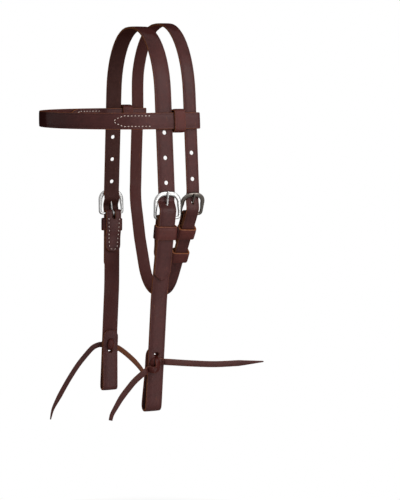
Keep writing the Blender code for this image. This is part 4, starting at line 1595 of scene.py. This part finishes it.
def leather_grain() -> bpy.types.NodeTree:
    """Builds the group of the grain: pebbled cells, pores and a slow change of tone.

    Returns:
        The group.
    """
    wire = NodeGroup("leather grain", {"Place": "Vector", "Size": "Float"},
                     {"Height": "Float", "Tone": "Float", "Pores": "Float"})
    place = wire.node("ShaderNodeVectorMath", {0: wire.given["Place"], "Scale": wire.given["Size"]},
                      operation="SCALE").outputs[0]
    warp = wire.node("ShaderNodeTexNoise", {"Vector": place, "Scale": 260.0, "Detail": 3.0}).outputs[1]
    bent = wire.stretched(warp, (0.0016, 0.0016, 0.0016))
    moved = wire.node("ShaderNodeVectorMath", {0: place, 1: bent}, operation="ADD").outputs[0]
    cells = wire.node("ShaderNodeTexVoronoi", {"Vector": moved, "Scale": 1250.0}, feature="DISTANCE_TO_EDGE")
    pebble = wire.spread(cells.outputs[0], 0.0, 0.22)
    fine = wire.noise(place, 2600.0, 3.0)
    slow = wire.noise(place, 42.0, 5.0, 0.6)
    middle = wire.noise(place, 210.0, 4.0)
    pores = wire.spread(wire.noise(moved, 900.0, 2.0), 0.62, 0.74)
    height = wire.plus(wire.times(pebble, 0.55), wire.times(fine, 0.30))
    height = wire.plus(height, wire.times(middle, 0.55))
    height = wire.math("SUBTRACT", height, wire.times(pores, 0.5))
    tone = wire.plus(wire.times(slow, 0.62), wire.times(middle, 0.38))
    return wire.gives(Height=height, Tone=wire.spread(tone, 0.34, 0.66), Pores=pores)


def edge_burnish() -> bpy.types.NodeTree:
    """Builds the group of burnished edges: how much of the edge colour shows, broken by wear.

    Returns:
        The group.
    """
    wire = NodeGroup("edge burnish", {"Place": "Vector", "Mask": "Float", "Wear": "Float"},
                     {"Edge": "Float", "Raw": "Float", "Height": "Float"})
    patch = wire.noise(wire.given["Place"], 150.0, 5.0, 0.65)
    fine = wire.noise(wire.given["Place"], 900.0, 3.0)
    broken = wire.plus(wire.times(patch, 0.7), wire.times(fine, 0.3))
    low = wire.math("SUBTRACT", 0.62, wire.times(wire.given["Wear"], 0.35))
    start = wire.math("SUBTRACT", low, wire.times(wire.spread(broken, 0.35, 0.65), 0.30))
    edge = wire.times(wire.math("SUBTRACT", wire.given["Mask"], start), 4.0, clamp=True)
    raw = wire.times(edge, wire.spread(patch, 0.50, 0.66), clamp=True)
    return wire.gives(Edge=edge, Raw=raw, Height=wire.times(fine, edge))


def handling() -> bpy.types.NodeTree:
    """Builds the group of use: rubbed patches, fine scratches and lines along the run.

    Returns:
        The group.
    """
    wire = NodeGroup("handling", {"Place": "Vector", "Run": "Vector"},
                     {"Rubbed": "Float", "Scratch": "Float", "Lines": "Float"})
    place = wire.given["Place"]
    rubbed = wire.spread(wire.noise(place, 26.0, 5.0, 0.6), 0.46, 0.68)
    one = wire.noise(wire.stretched(place, (1.0, 1.0, 0.09)), 820.0, 3.0)
    other = wire.noise(wire.stretched(place, (0.12, 1.0, 1.0)), 640.0, 3.0)
    scratch = wire.math("MAXIMUM", wire.spread(one, 0.66, 0.74), wire.spread(other, 0.68, 0.76))
    lines = wire.noise(wire.stretched(wire.given["Run"], (0.05, 1.0, 1.0)), 1500.0, 3.0)
    return wire.gives(Rubbed=rubbed, Scratch=scratch, Lines=lines)


@dataclass(frozen=True)
class LeatherFinish:
    """A leather, dyed and dressed.

    Args:
        name: Name of the material.
        dark: Its colour in the hollows.
        light: Its colour where it is rubbed.
        edge: Colour of its burnished edges.
        raw: Colour where an edge is worn open.
        back: Colour of its rough back.
        rough: Roughness of the dressed face.
        size: Size factor of its grain.
        relief: Depth of its grain, in metres.
        lines: How strongly it shows lines along the run, from 0 to 1.
        gloss: How strongly its dressing reflects, seen square on.
    """

    name: str
    dark: Colour
    light: Colour
    edge: Colour
    raw: Colour
    back: Colour
    rough: float
    size: float = 1.0
    relief: float = 0.00006
    lines: float = 0.2
    gloss: float = 0.13

    def make(self, groups: dict[str, bpy.types.NodeTree]) -> bpy.types.Material:
        """Builds the material.

        Args:
            groups: The shared shader groups by name.

        Returns:
            The material.
        """
        material, wire = new_material(self.name)
        place = wire.node("ShaderNodeTexCoord").outputs["Object"]
        run = wire.node("ShaderNodeUVMap", uv_map="run").outputs["UV"]
        finish = wire.node("ShaderNodeUVMap", uv_map="finish").outputs["UV"]
        marks = wire.node("ShaderNodeSeparateXYZ", {0: finish}).outputs
        grain = wire.group(groups["grain"], Place=place, Size=self.size)
        burnish = wire.group(groups["edge"], Place=place, Mask=marks[0], Wear=0.35)
        used = wire.group(groups["use"], Place=place, Run=run)
        lines = wire.spread(used["Lines"], 0.35, 0.65)
        back = wire.times(marks[1], wire.spread(grain["Tone"], 0.0, 1.0, 0.55, 1.0), clamp=True)

        tone = wire.plus(wire.times(grain["Tone"], 0.75), wire.times(used["Rubbed"], 0.25))
        tone = wire.plus(tone, wire.times(wire.math("SUBTRACT", lines, 0.5), self.lines), clamp=True)
        colour = wire.mixed(tone, self.dark, self.light)
        colour = wire.mixed(back, colour, self.back)
        colour = wire.mixed(wire.times(used["Scratch"], 0.30), colour, self.edge)
        colour = wire.mixed(burnish["Edge"], colour, self.edge)
        colour = wire.mixed(wire.times(burnish["Raw"], 0.6), colour, self.raw)
        colour = wire.mixed(wire.times(grain["Pores"], 0.45), colour, self.dark)

        rough = wire.plus(wire.times(grain["Tone"], 0.16), self.rough - 0.08)
        rough = wire.math("SUBTRACT", rough, wire.times(used["Rubbed"], 0.08))
        rough = wire.plus(rough, wire.times(back, 0.28))
        rough = wire.plus(rough, wire.times(burnish["Edge"], 0.10), clamp=True)

        height = wire.plus(grain["Height"], wire.times(lines, 1.6 * self.lines))
        height = wire.plus(height, wire.times(burnish["Height"], 0.5))
        height = wire.plus(height, wire.times(wire.times(back, lines), 0.5))
        normal = wire.bump(height, self.relief, 0.75)

        edge_on = wire.node("ShaderNodeLayerWeight", {"Blend": 0.5}).outputs["Facing"]
        gloss = wire.times(wire.spread(edge_on, 0.15, 0.62, 1.0, 0.0), self.gloss)
        surface = wire.node("ShaderNodeBsdfPrincipled", {
            "Base Color": colour, "Roughness": rough, "Normal": normal, "Specular IOR Level": self.gloss})
        wire.tree.links.new(gloss, surface.inputs["Specular IOR Level"])
        wire.node("ShaderNodeOutputMaterial", {"Surface": surface.outputs[0]})
        return material


@dataclass(frozen=True)
class SteelFinish:
    """Polished stainless steel, a little handled.

    Args:
        name: Name of the material.
        colour: Its reflection.
        rough: Roughness where it is best polished.
    """

    name: str
    colour: Colour
    rough: float

    def make(self, groups: dict[str, bpy.types.NodeTree]) -> bpy.types.Material:
        """Builds the material.

        Args:
            groups: The shared shader groups by name.

        Returns:
            The material.
        """
        material, wire = new_material(self.name)
        place = wire.node("ShaderNodeTexCoord").outputs["Object"]
        used = wire.group(groups["use"], Place=place, Run=place)
        haze = wire.noise(place, 380.0, 4.0)
        dull = tuple(0.82 * share for share in self.colour[:3]) + (1.0,)
        colour = wire.mixed(wire.spread(haze, 0.3, 0.7), self.colour, dull)
        rough = wire.plus(wire.times(wire.spread(haze, 0.35, 0.7), 0.10), self.rough)
        rough = wire.plus(rough, wire.times(used["Scratch"], 0.12))
        height = wire.plus(wire.noise(place, 120.0, 3.0), wire.times(used["Scratch"], 0.1))
        surface = wire.node("ShaderNodeBsdfPrincipled", {
            "Base Color": colour, "Metallic": 1.0, "Roughness": rough,
            "Normal": wire.bump(height, 0.0002, 0.5)})
        wire.node("ShaderNodeOutputMaterial", {"Surface": surface.outputs[0]})
        return material


@dataclass(frozen=True)
class ThreadFinish:
    """Waxed linen thread.

    Args:
        name: Name of the material.
        clean: Its colour where it is clean.
        soiled: Its colour where it is soiled, in patches laid by noise.
    """

    name: str
    clean: Colour
    soiled: Colour

    def make(self) -> bpy.types.Material:
        """Builds the material.

        Returns:
            The material.
        """
        material, wire = new_material(self.name)
        place = wire.node("ShaderNodeTexCoord").outputs["Object"]
        dirt = wire.spread(wire.noise(place, 330.0, 3.0), 0.42, 0.70)
        ply = wire.noise(wire.stretched(place, (1.0, 1.0, 0.4)), 5200.0, 2.0)
        surface = wire.node("ShaderNodeBsdfPrincipled", {
            "Base Color": wire.mixed(dirt, self.clean, self.soiled), "Roughness": 0.72,
            "Normal": wire.bump(ply, 0.0001, 0.6), "Sheen Weight": 0.15})
        wire.node("ShaderNodeOutputMaterial", {"Surface": surface.outputs[0]})
        return material


# Studio


@dataclass
class Camera:
    """Where the photograph was taken from.

    Args:
        place: The lens.
        azimuth: Turn of the view about the vertical, in degrees.
        fall: Angle that it looks down by, in degrees.
        lens: Focal length in millimetres, for a frame 36 mm tall.
    """

    place: Triple = (1.6647, -0.5285, -0.0419)
    azimuth: float = 70.0
    fall: float = 7.0
    lens: float = 108.0

    def make(self) -> None:
        """Makes it the scene's camera."""
        data = bpy.data.cameras.new("camera")
        data.sensor_fit, data.sensor_height, data.lens = "VERTICAL", 36.0, self.lens
        data.dof.use_dof = False
        data.clip_start, data.clip_end = 0.05, 20.0
        camera = shown("camera", data)
        azimuth, fall = math.radians(self.azimuth), math.radians(self.fall)
        level = Vector((-math.sin(azimuth), math.cos(azimuth), 0.0))
        ahead = level * math.cos(fall) - UP * math.sin(fall)
        camera.location = self.place
        camera.rotation_mode = "QUATERNION"
        camera.rotation_quaternion = ahead.to_track_quat("-Z", "Y")
        bpy.context.scene.camera = camera


@dataclass
class Lamp:
    """A soft lamp.

    Args:
        name: Its name.
        place: Where it stands.
        aim: What it points at.
        size: Side of its square.
        power: Its power in watts.
    """

    name: str
    place: Triple
    aim: Triple
    size: float
    power: float

    def make(self) -> None:
        """Builds it."""
        data = bpy.data.lights.new(self.name, "AREA")
        data.shape, data.size, data.energy = "SQUARE", self.size, self.power
        lamp = shown(self.name, data)
        lamp.location = self.place
        lamp.rotation_mode = "QUATERNION"
        lamp.rotation_quaternion = (Vector(self.aim) - Vector(self.place)).to_track_quat("-Z", "Y")


@dataclass
class Studio:
    """A pale floor, a white background and soft light.

    Args:
        floor: Height of the floor.
        reach: Half of the floor's side.
        clear: Distance from the object where the floor starts to fade into the background.
        gone: Distance where it has faded.
        fill: Strength of the light from all round.
        lamps: The lamps.
    """

    floor: float = -0.670
    reach: float = 2.0
    clear: float = 0.20
    gone: float = 0.40
    fill: float = 0.15
    lamps: tuple[Lamp, ...] = (
        Lamp("key", (1.45, 0.54, 0.76), (0.0, 0.0, -0.2), 1.5, 27.5),
        Lamp("low", (1.40, 0.53, -0.52), (0.08, 0.0, -0.36), 0.5, 5.2),
    )

    def make(self) -> None:
        """Builds the floor, the background and the lamps."""
        scene = bpy.context.scene
        scene.view_settings.view_transform = "Standard"
        self._background()
        self._floor()
        for lamp in self.lamps:
            lamp.make()

    def _background(self) -> None:
        """White for the camera and for reflections, softer as a light."""
        world = bpy.data.worlds.new("background")
        world.use_nodes = True
        world.node_tree.nodes.clear()
        wire = Wiring(world.node_tree)
        path = wire.node("ShaderNodeLightPath").outputs
        seen = wire.math("MAXIMUM", path["Is Camera Ray"], path["Is Glossy Ray"])
        seen = wire.math("MAXIMUM", seen, path["Is Transmission Ray"])
        light = wire.node("ShaderNodeBackground", {"Color": (1.0, 0.985, 0.97, 1.0), "Strength": self.fill})
        white = wire.node("ShaderNodeBackground", {"Color": (1.0, 1.0, 1.0, 1.0), "Strength": 1.0})
        mix = wire.node("ShaderNodeMixShader", {0: seen, 1: light.outputs[0], 2: white.outputs[0]})
        wire.node("ShaderNodeOutputWorld", {"Surface": mix.outputs[0]})
        bpy.context.scene.world = world

    def _floor(self) -> None:
        """A pale floor that fades into the background away from the object."""
        mesh = bpy.data.meshes.new("floor")
        low, high = -self.reach, self.reach
        corners = [(x, y, self.floor) for x, y in ((low, low), (high, low), (high, high), (low, high))]
        mesh.from_pydata(corners, [], [(0, 1, 2, 3)])
        material, wire = new_material("pale floor")
        place = wire.node("ShaderNodeTexCoord").outputs["Object"]
        x, y, _ = wire.node("ShaderNodeSeparateXYZ", {0: place}).outputs
        away = wire.math("SQRT", wire.plus(wire.times(x, x), wire.times(y, y)))
        camera_ray = wire.node("ShaderNodeLightPath").outputs["Is Camera Ray"]
        fade = wire.times(camera_ray, wire.spread(away, self.clear, self.gone))
        matte = wire.node("ShaderNodeBsdfPrincipled", {
            "Base Color": (0.90, 0.90, 0.89, 1.0), "Roughness": 0.9, "Specular IOR Level": 0.1})
        white = wire.node("ShaderNodeEmission", {"Color": (1.0, 1.0, 1.0, 1.0), "Strength": 1.0})
        mix = wire.node("ShaderNodeMixShader", {0: fade, 1: matte.outputs[0], 2: white.outputs[0]})
        wire.node("ShaderNodeOutputMaterial", {"Surface": mix.outputs[0]})
        mesh.materials.append(material)
        shown("floor", mesh)


# Assembly


class Headstall:
    """The whole headstall, its pieces made in order.

    A hole longer than SLOT_LENGTH is a slot, SLOT_WIDTH wide. One shorter than TONGUE_LENGTH is round, of
    diameter HOLE or LACE_HOLE. One between them holds a tongue: it is made TONGUE_HOLE long and wide,
    TONGUE_UP above its middle. No hole lies within TIP of an end. An end set askew comes back into line
    between the two distances of ASKEW. THROAT_EASE gives, by depth, how far rearward the throatlatch's off
    leg moves, wholly so beyond FAR_LEG. The side leather is SIDE thick and the browband BAND. THROAT_OUT
    points out of the throat buckle, and stitches are laid IN_FACE below the leather's face.
    """

    SLOT_LENGTH = 0.015
    SLOT_WIDTH = 0.0044
    TONGUE_LENGTH = 0.0065
    TONGUE_HOLE = (0.0046, 0.0029)
    TONGUE_UP = 0.0016
    ASKEW = (0.030, 0.075)
    HOLE = 0.0049
    LACE_HOLE = 0.0056
    TIP = 0.0030
    FAR_LEG = 0.05
    THROAT_EASE = ((0.050, -0.0016), (0.090, 0.0), (0.225, 0.0), (0.250, -0.0014), (0.300, -0.0014),
                   (0.325, 0.0))
    SIDE = 0.0030
    BAND = 0.0026
    THROAT_OUT = Vector((0.829, 0.0, -0.559))
    IN_FACE = 0.0001

    def __init__(self) -> None:
        """Builds the finishes."""
        groups = {"grain": leather_grain(), "edge": edge_burnish(), "use": handling()}
        latigo = LeatherFinish(
            "latigo leather", dark=(0.046, 0.0145, 0.0134, 1.0), light=(0.079, 0.0253, 0.0235, 1.0),
            edge=(0.230, 0.076, 0.031, 1.0), raw=(0.30, 0.13, 0.065, 1.0), back=(0.063, 0.0182, 0.0158, 1.0),
            rough=0.44)
        self.latigo = latigo.make(groups)
        # The crown's back is given a darker colour than the other straps' backs: painted shade on the inside
        # of the arch.
        crown = replace(latigo, name="crown leather with painted shade", back=(0.040, 0.0135, 0.0105, 1.0))
        self.shaded_crown_latigo = crown.make(groups)
        self.keeper = LeatherFinish(
            "keeper leather", dark=(0.052, 0.0130, 0.0108, 1.0), light=(0.104, 0.0270, 0.0226, 1.0),
            edge=(0.200, 0.066, 0.027, 1.0), raw=(0.34, 0.15, 0.07, 1.0), back=(0.056, 0.0165, 0.0135, 1.0),
            rough=0.44, lines=0.1).make(groups)
        self.lace = LeatherFinish(
            "lace leather", dark=(0.040, 0.0118, 0.0100, 1.0), light=(0.072, 0.0215, 0.0180, 1.0),
            edge=(0.100, 0.030, 0.017, 1.0), raw=(0.24, 0.09, 0.04, 1.0), back=(0.125, 0.042, 0.0165, 1.0),
            rough=0.48, lines=0.4).make(groups)
        # The lace in the knots is a darker, redder copy of the lace leather with a darker back: painted shade
        # between the knot's strands.
        self.knotted = LeatherFinish(
            "knotted lace", dark=(0.038, 0.0068, 0.0052, 1.0), light=(0.070, 0.0130, 0.0102, 1.0),
            edge=(0.100, 0.026, 0.016, 1.0), raw=(0.22, 0.08, 0.04, 1.0), back=(0.060, 0.0150, 0.0120, 1.0),
            rough=0.40, lines=0.3, gloss=0.12).make(groups)
        self.steel = SteelFinish("polished steel", (0.37, 0.365, 0.36, 1.0), 0.30).make(groups)
        # The throat buckle's steel is the polished steel made darker and browner: painted shade.
        self.shaded_steel = SteelFinish("steel with painted shade", (0.155, 0.135, 0.120, 1.0), 0.24).make(groups)
        self.thread = ThreadFinish("waxed thread", (0.74, 0.62, 0.56, 1.0), (0.42, 0.28, 0.24, 1.0)).make()
        self.cheek_rows: dict[str, Run] = {}

    def _holes(self, solid: Solid, rows: list[Row], round_hole: float) -> list[Hole]:
        """Finds the holes of a run, each with the width that its length calls for.

        Args:
            solid: The strap's solid.
            rows: The traced rows.
            round_hole: Diameter of the strap's round holes.

        Returns:
            The holes in order.
        """
        stops = lengths([row.centre for row in rows])
        last = stops[-1] - self.TIP
        holes = [hole for hole in holes_of(solid, rows, round_hole) if self.TIP < hole.middle < last]
        for hole in holes:
            if hole.length > self.SLOT_LENGTH:
                hole.width = self.SLOT_WIDTH
            elif hole.length < self.TONGUE_LENGTH:
                hole.length = round_hole
            else:
                row = rows[bisect_right(stops, hole.middle) - 1]
                hole.middle += math.copysign(self.TONGUE_UP, row.along.z)
                hole.length, hole.width = self.TONGUE_HOLE
        return holes

    @staticmethod
    def _joined(solid: Solid, seed: Vector, along: Vector, normal: Vector,
                half: float) -> tuple[list[Row], bool]:
        """Traces a whole strap, both ways from one place.

        Args:
            solid: The strap's solid.
            seed: A place in the middle of the section.
            along: Direction of the run there.
            normal: Out of the shown face there.
            half: Half of the full width.

        Returns:
            The rows, and whether the strap is a ring.
        """
        ahead, closed = solid.trace(seed, along, normal, half)
        if closed:
            return ahead, True
        back, _ = solid.trace(seed, -along, normal, half)
        turned = [Row(row.centre, -row.along, row.normal, row.half) for row in back[:0:-1]]
        return turned + ahead, False

    def _set_askew(self, rows: list[Row], askew: Vector) -> list[Row]:
        """Moves the first end of a strap out of line, less and less toward its fold.

        Args:
            rows: The traced rows.
            askew: How far the end moves.

        Returns:
            The rows where they lie then.
        """
        table = ((self.ASKEW[0], 1.0), (self.ASKEW[1], 0.0))
        moved = []
        for row, u in zip(rows, lengths([row.centre for row in rows])):
            moved.append(replace(row, centre=row.centre + askew * table_value(table, u)))
        return moved

    def _eased(self, rows: list[Row], table: Pairs) -> list[Row]:
        """Moves the off leg of a strap rearward.

        Args:
            rows: The traced rows.
            table: Depths and how far it moves there.

        Returns:
            The rows where they lie then.
        """
        moved = []
        for row in rows:
            share = min(1.0, max(0.0, -row.centre.x / self.FAR_LEG))
            shift = REAR * (share * table_value(table, -row.centre.z))
            moved.append(replace(row, centre=row.centre + shift))
        return moved

    def strap(self, name: str, node: str, seed: tuple[Vector, Vector], along: Vector, normal: Vector,
              half: float, cut: StrapCut, finish: bpy.types.Material, slot: Slot, round_hole: float = HOLE,
              askew: Vector | None = None, ease: Pairs = ()) -> Run:
        """Traces a strap's solid and sweeps the finished strap along it.

        Args:
            name: The piece's name.
            node: Its CAD node.
            seed: A place outside the strap and the direction in which it is met.
            along: Direction of the run there.
            normal: Out of its shown face there.
            half: Half of its full width.
            cut: Its section.
            finish: Its material.
            slot: The record's slot of its finish.
            round_hole: Diameter of its round holes.
            askew: How far its first end lies out of line, if it does.
            ease: Depths and how far rearward its off leg moves there, if it does.

        Returns:
            The run, for stitches.
        """
        solid = Solid(node)
        rows, closed = self._joined(solid, solid.seed(*seed), along, normal, half)
        if askew is not None:
            rows = self._set_askew(rows, askew)
        if ease:
            rows = self._eased(rows, ease)
        run = Run(rows, closed)
        Strap(run, cut, self._holes(solid, rows, round_hole)).skin().object(name, node, finish, slot)
        return run

    def straps(self) -> None:
        """The crown, the throatlatch, the browband and both cheeks."""
        side, over = StrapCut(self.SIDE), Vector((0.0, 0.0, 0.05))
        # The crown strap takes the finish whose darker back is painted shade.
        self.strap("crown strap", "crown_strap", (over, -UP), NEARSIDE, UP, 0.0095,
                   side, self.shaded_crown_latigo, Slot.LATIGO)
        self.throat = self.strap(
            "throatlatch strap", "throatlatch_strap", (over + REAR * 0.0308, -UP), NEARSIDE, UP, 0.0073,
            StrapCut(self.SIDE, crease_in=0.0017), self.latigo, Slot.LATIGO, ease=self.THROAT_EASE)
        self.band = self.strap(
            "browband strap", "browband", (Vector((0.0, -0.3, -0.102)), REAR), NEARSIDE, -REAR, 0.0090,
            StrapCut(self.BAND), self.latigo, Slot.LATIGO)
        for word, out, askew in (("near", NEARSIDE, Vector((-0.0008, -0.0018, 0.0))),
                                 ("off", -NEARSIDE, Vector((0.0, 0.0006, 0.0)))):
            start = out * 0.3 + Vector((0.0, -0.006, -0.33))
            self.cheek_rows[word] = self.strap(
                word + " cheek strap", word + "_cheek_strap", (start, -out), UP, out, 0.0095,
                side, self.latigo, Slot.LATIGO, self.LACE_HOLE, askew)

    def keepers(self) -> None:
        """The six keepers."""
        cut = StrapCut(0.0024, corner=0.0008, crease_in=0.0018, crease_deep=0.00012, doming=0.00010)
        for name, out, along, half in (
                ("near cheek keeper", NEARSIDE, REAR, 0.0076), ("off cheek keeper", -NEARSIDE, REAR, 0.0076),
                ("throat fixed keeper", self.THROAT_OUT, REAR, 0.0070),
                ("throat sliding keeper", self.THROAT_OUT, REAR, 0.0070),
                ("near browband keeper", NEARSIDE, UP, 0.0062),
                ("off browband keeper", -NEARSIDE, UP, 0.0062)):
            node = name.replace(" ", "_")
            start = Solid(node).middle + out * 0.05
            self.strap(name, node, (start, -out), along, out, half, cut, self.keeper, Slot.KEEPER)

    def buckles(self) -> None:
        """The three buckles."""
        hinges = {joint["name"]: Vector(joint["pos_m"]) for joint in frame["joints"] if "pos_m" in joint}
        for word, out, slide in (("near", NEARSIDE, -0.0023), ("off", -NEARSIDE, -0.0023),
                                 ("throat", self.THROAT_OUT, -0.0015)):
            buckle = Buckle(word, hinges[word + "_buckle_rock"], out, BuckleShape(slide=slide))
            # The throat buckle takes the steel darkened as painted shade.
            buckle.make(self.shaded_steel if word == "throat" else self.steel)

    def ties(self) -> list[Tie]:
        """Lays out both bit ties.

        Returns:
            The near tie and the off one.
        """
        near = Tie(1, 1, "near",
                   Vector((0.09016, -0.00821, -0.36503)), Vector((0.08989, -0.00883, -0.37683)),
                   NEAR_REAR_TAIL, NEAR_FRONT_TAIL, 0.0074, tips=(0.0014, 0.0044))
        off = Tie(-1, -1, "off",
                  Vector((-0.09173, -0.00821, -0.37933)), Vector((-0.09147, -0.00883, -0.39113)),
                  OFF_FRONT_TAIL, OFF_REAR_TAIL, 0.0066,
                  under_start=((1.2, 6.5, -3.4), (4.6, 5.4, -3.0), (8.4, 2.6, -1.4)),
                  over_start=((-3.4, 1.6, -3.2), (-7.6, -1.6, -3.0), (-11.0, -4.2, -1.4)),
                  lift=4.5, raised=2.5, back_shown=True, tips=(0.0014, 0.0044))
        return [near, off]

    def _sewn(self, run: Run, marks: Pairs, span: tuple[float, float], thick: float) -> list[Sewn]:
        """Lays out a row of stitches through a folded end and the layer under it.

        Args:
            run: The strap's run.
            marks: The row as (distance along the folded end, distance across).
            span: Where the other layer lies, as two distances.
            thick: Thickness of the leather.

        Returns:
            The row on the end's free face, and the row on the other layer's free face.
        """
        first, second = [], []
        for u, v in marks:
            end = run.at(u)
            other = run.at(run.nearest(end.centre, *span))
            gap = other.centre - end.centre
            for row, out, kept in ((end, -1.0 if end.normal.dot(gap) > 0 else 1.0, first),
                                   (other, 1.0 if other.normal.dot(gap) > 0 else -1.0, second)):
                kept.append((row.place(v, out * (thick / 2 - self.IN_FACE)), row.normal * out))
        return [first, second]

    @staticmethod
    def _u_row(tip: float, inward: float, top: float, wide: float, narrow: float, low: float) -> Pairs:
        """Draws a U of stitches round a folded end.

        Args:
            tip: Distance of the end along the run.
            inward: 1 if the strap lies beyond it, -1 if before.
            top: How far from the end its legs reach.
            wide: Distance of a leg from the middle at its top.
            narrow: The same at its bottom.
            low: How far from the end the bottom of the U is.

        Returns:
            Its places as (distance along the run, distance across).
        """
        turn, steps, bend = low + 0.0050, 12, 15
        row = []
        for step in range(steps + 1):
            share = step / steps
            row.append((top + (turn - top) * share, -(wide + (narrow - wide) * share)))
        for degrees in range(bend, 180, bend):
            angle = math.radians(degrees)
            row.append((turn - (turn - low) * math.sin(angle), -narrow * math.cos(angle)))
        row += [(off, -v) for off, v in row[steps::-1]]
        return [(tip + inward * off, v) for off, v in row]

    @staticmethod
    def _arrow_row(tip: float, inward: float, point: float, shoulder: float, top: float,
                   wide: float) -> Pairs:
        """Draws a row of stitches that comes to a point, from one leg's top to the other's.

        Args:
            tip: Distance of the end along the run.
            inward: 1 if the strap lies beyond it, -1 if before.
            point: How far from the end its point is.
            shoulder: How far from the end it starts to narrow.
            top: How far from the end its legs reach.
            wide: Distance of a leg from the middle.

        Returns:
            Its places as (distance along the run, distance across).
        """
        steps, bend, bulge = 10, 8, 0.62
        arm = [(top + (shoulder - top) * step / steps, wide) for step in range(steps + 1)]
        arm += [(shoulder + (point - shoulder) * step / bend, wide * (1 - step / bend) ** bulge)
                for step in range(1, bend)]
        arm.append((point, 0.0))
        both = arm + [(off, -v) for off, v in arm[-2::-1]]
        return [(tip + inward * off, v) for off, v in both]

    def stitches(self) -> None:
        """Every row of stitches."""
        rows = StitchRows(Thread(pitch=0.0047, length=0.0021, radius=0.00054), self.thread)
        for word, run in self.cheek_rows.items():
            marks = self._u_row(run.length, -1.0, 0.0400, 0.0067, 0.0052, 0.0024)
            sewn = self._sewn(run, marks, (0.120, run.length - 0.060), self.SIDE)
            rows.lay(word + " cheek stitches", word + "_cheek_strap", sewn)
        rows = StitchRows(Thread(pitch=0.00385, radius=0.00052, seed=9), self.thread)
        length, sewn = self.band.length, []
        for tip, inward, span in ((length, -1.0, (length - 0.26, length - 0.12)), (0.0, 1.0, (0.12, 0.26))):
            marks = self._arrow_row(tip, inward, 0.0065, 0.0165, 0.0440, 0.0057)
            sewn += self._sewn(self.band, marks, span, self.BAND)
        rows.lay("browband stitches", "browband", sewn)
        rows = StitchRows(Thread(pitch=0.0037, seed=21), self.thread)
        marks = self._u_row(0.0, 1.0, 0.0370, 0.0042, 0.0038, 0.0030)
        sewn = self._sewn(self.throat, marks, (0.050, 0.130), self.SIDE)
        rows.lay("throatlatch stitches", "throatlatch_strap", sewn)

    def cords(self) -> None:
        """The four tails."""
        for tie in self.ties():
            for tail in tie.tails():
                tail.make(LaceCut(width=tie.width), self.lace)

    def knots(self) -> None:
        """The two knots, in a darker and redder copy of the lace leather: painted shade."""
        for tie in self.ties():
            tie.make(LaceCut(thick=0.0028, power=2.3), self.knotted)


def main() -> None:
    """Builds the scene in order: camera, cords, leather, steel, thread, studio."""
    logging.basicConfig(level=logging.INFO, format="%(message)s")
    Camera().make()
    headstall = Headstall()
    headstall.cords()
    headstall.knots()
    headstall.straps()
    headstall.keepers()
    headstall.buckles()
    headstall.stitches()
    Studio().make()


if __name__ == "__main__":
    main()
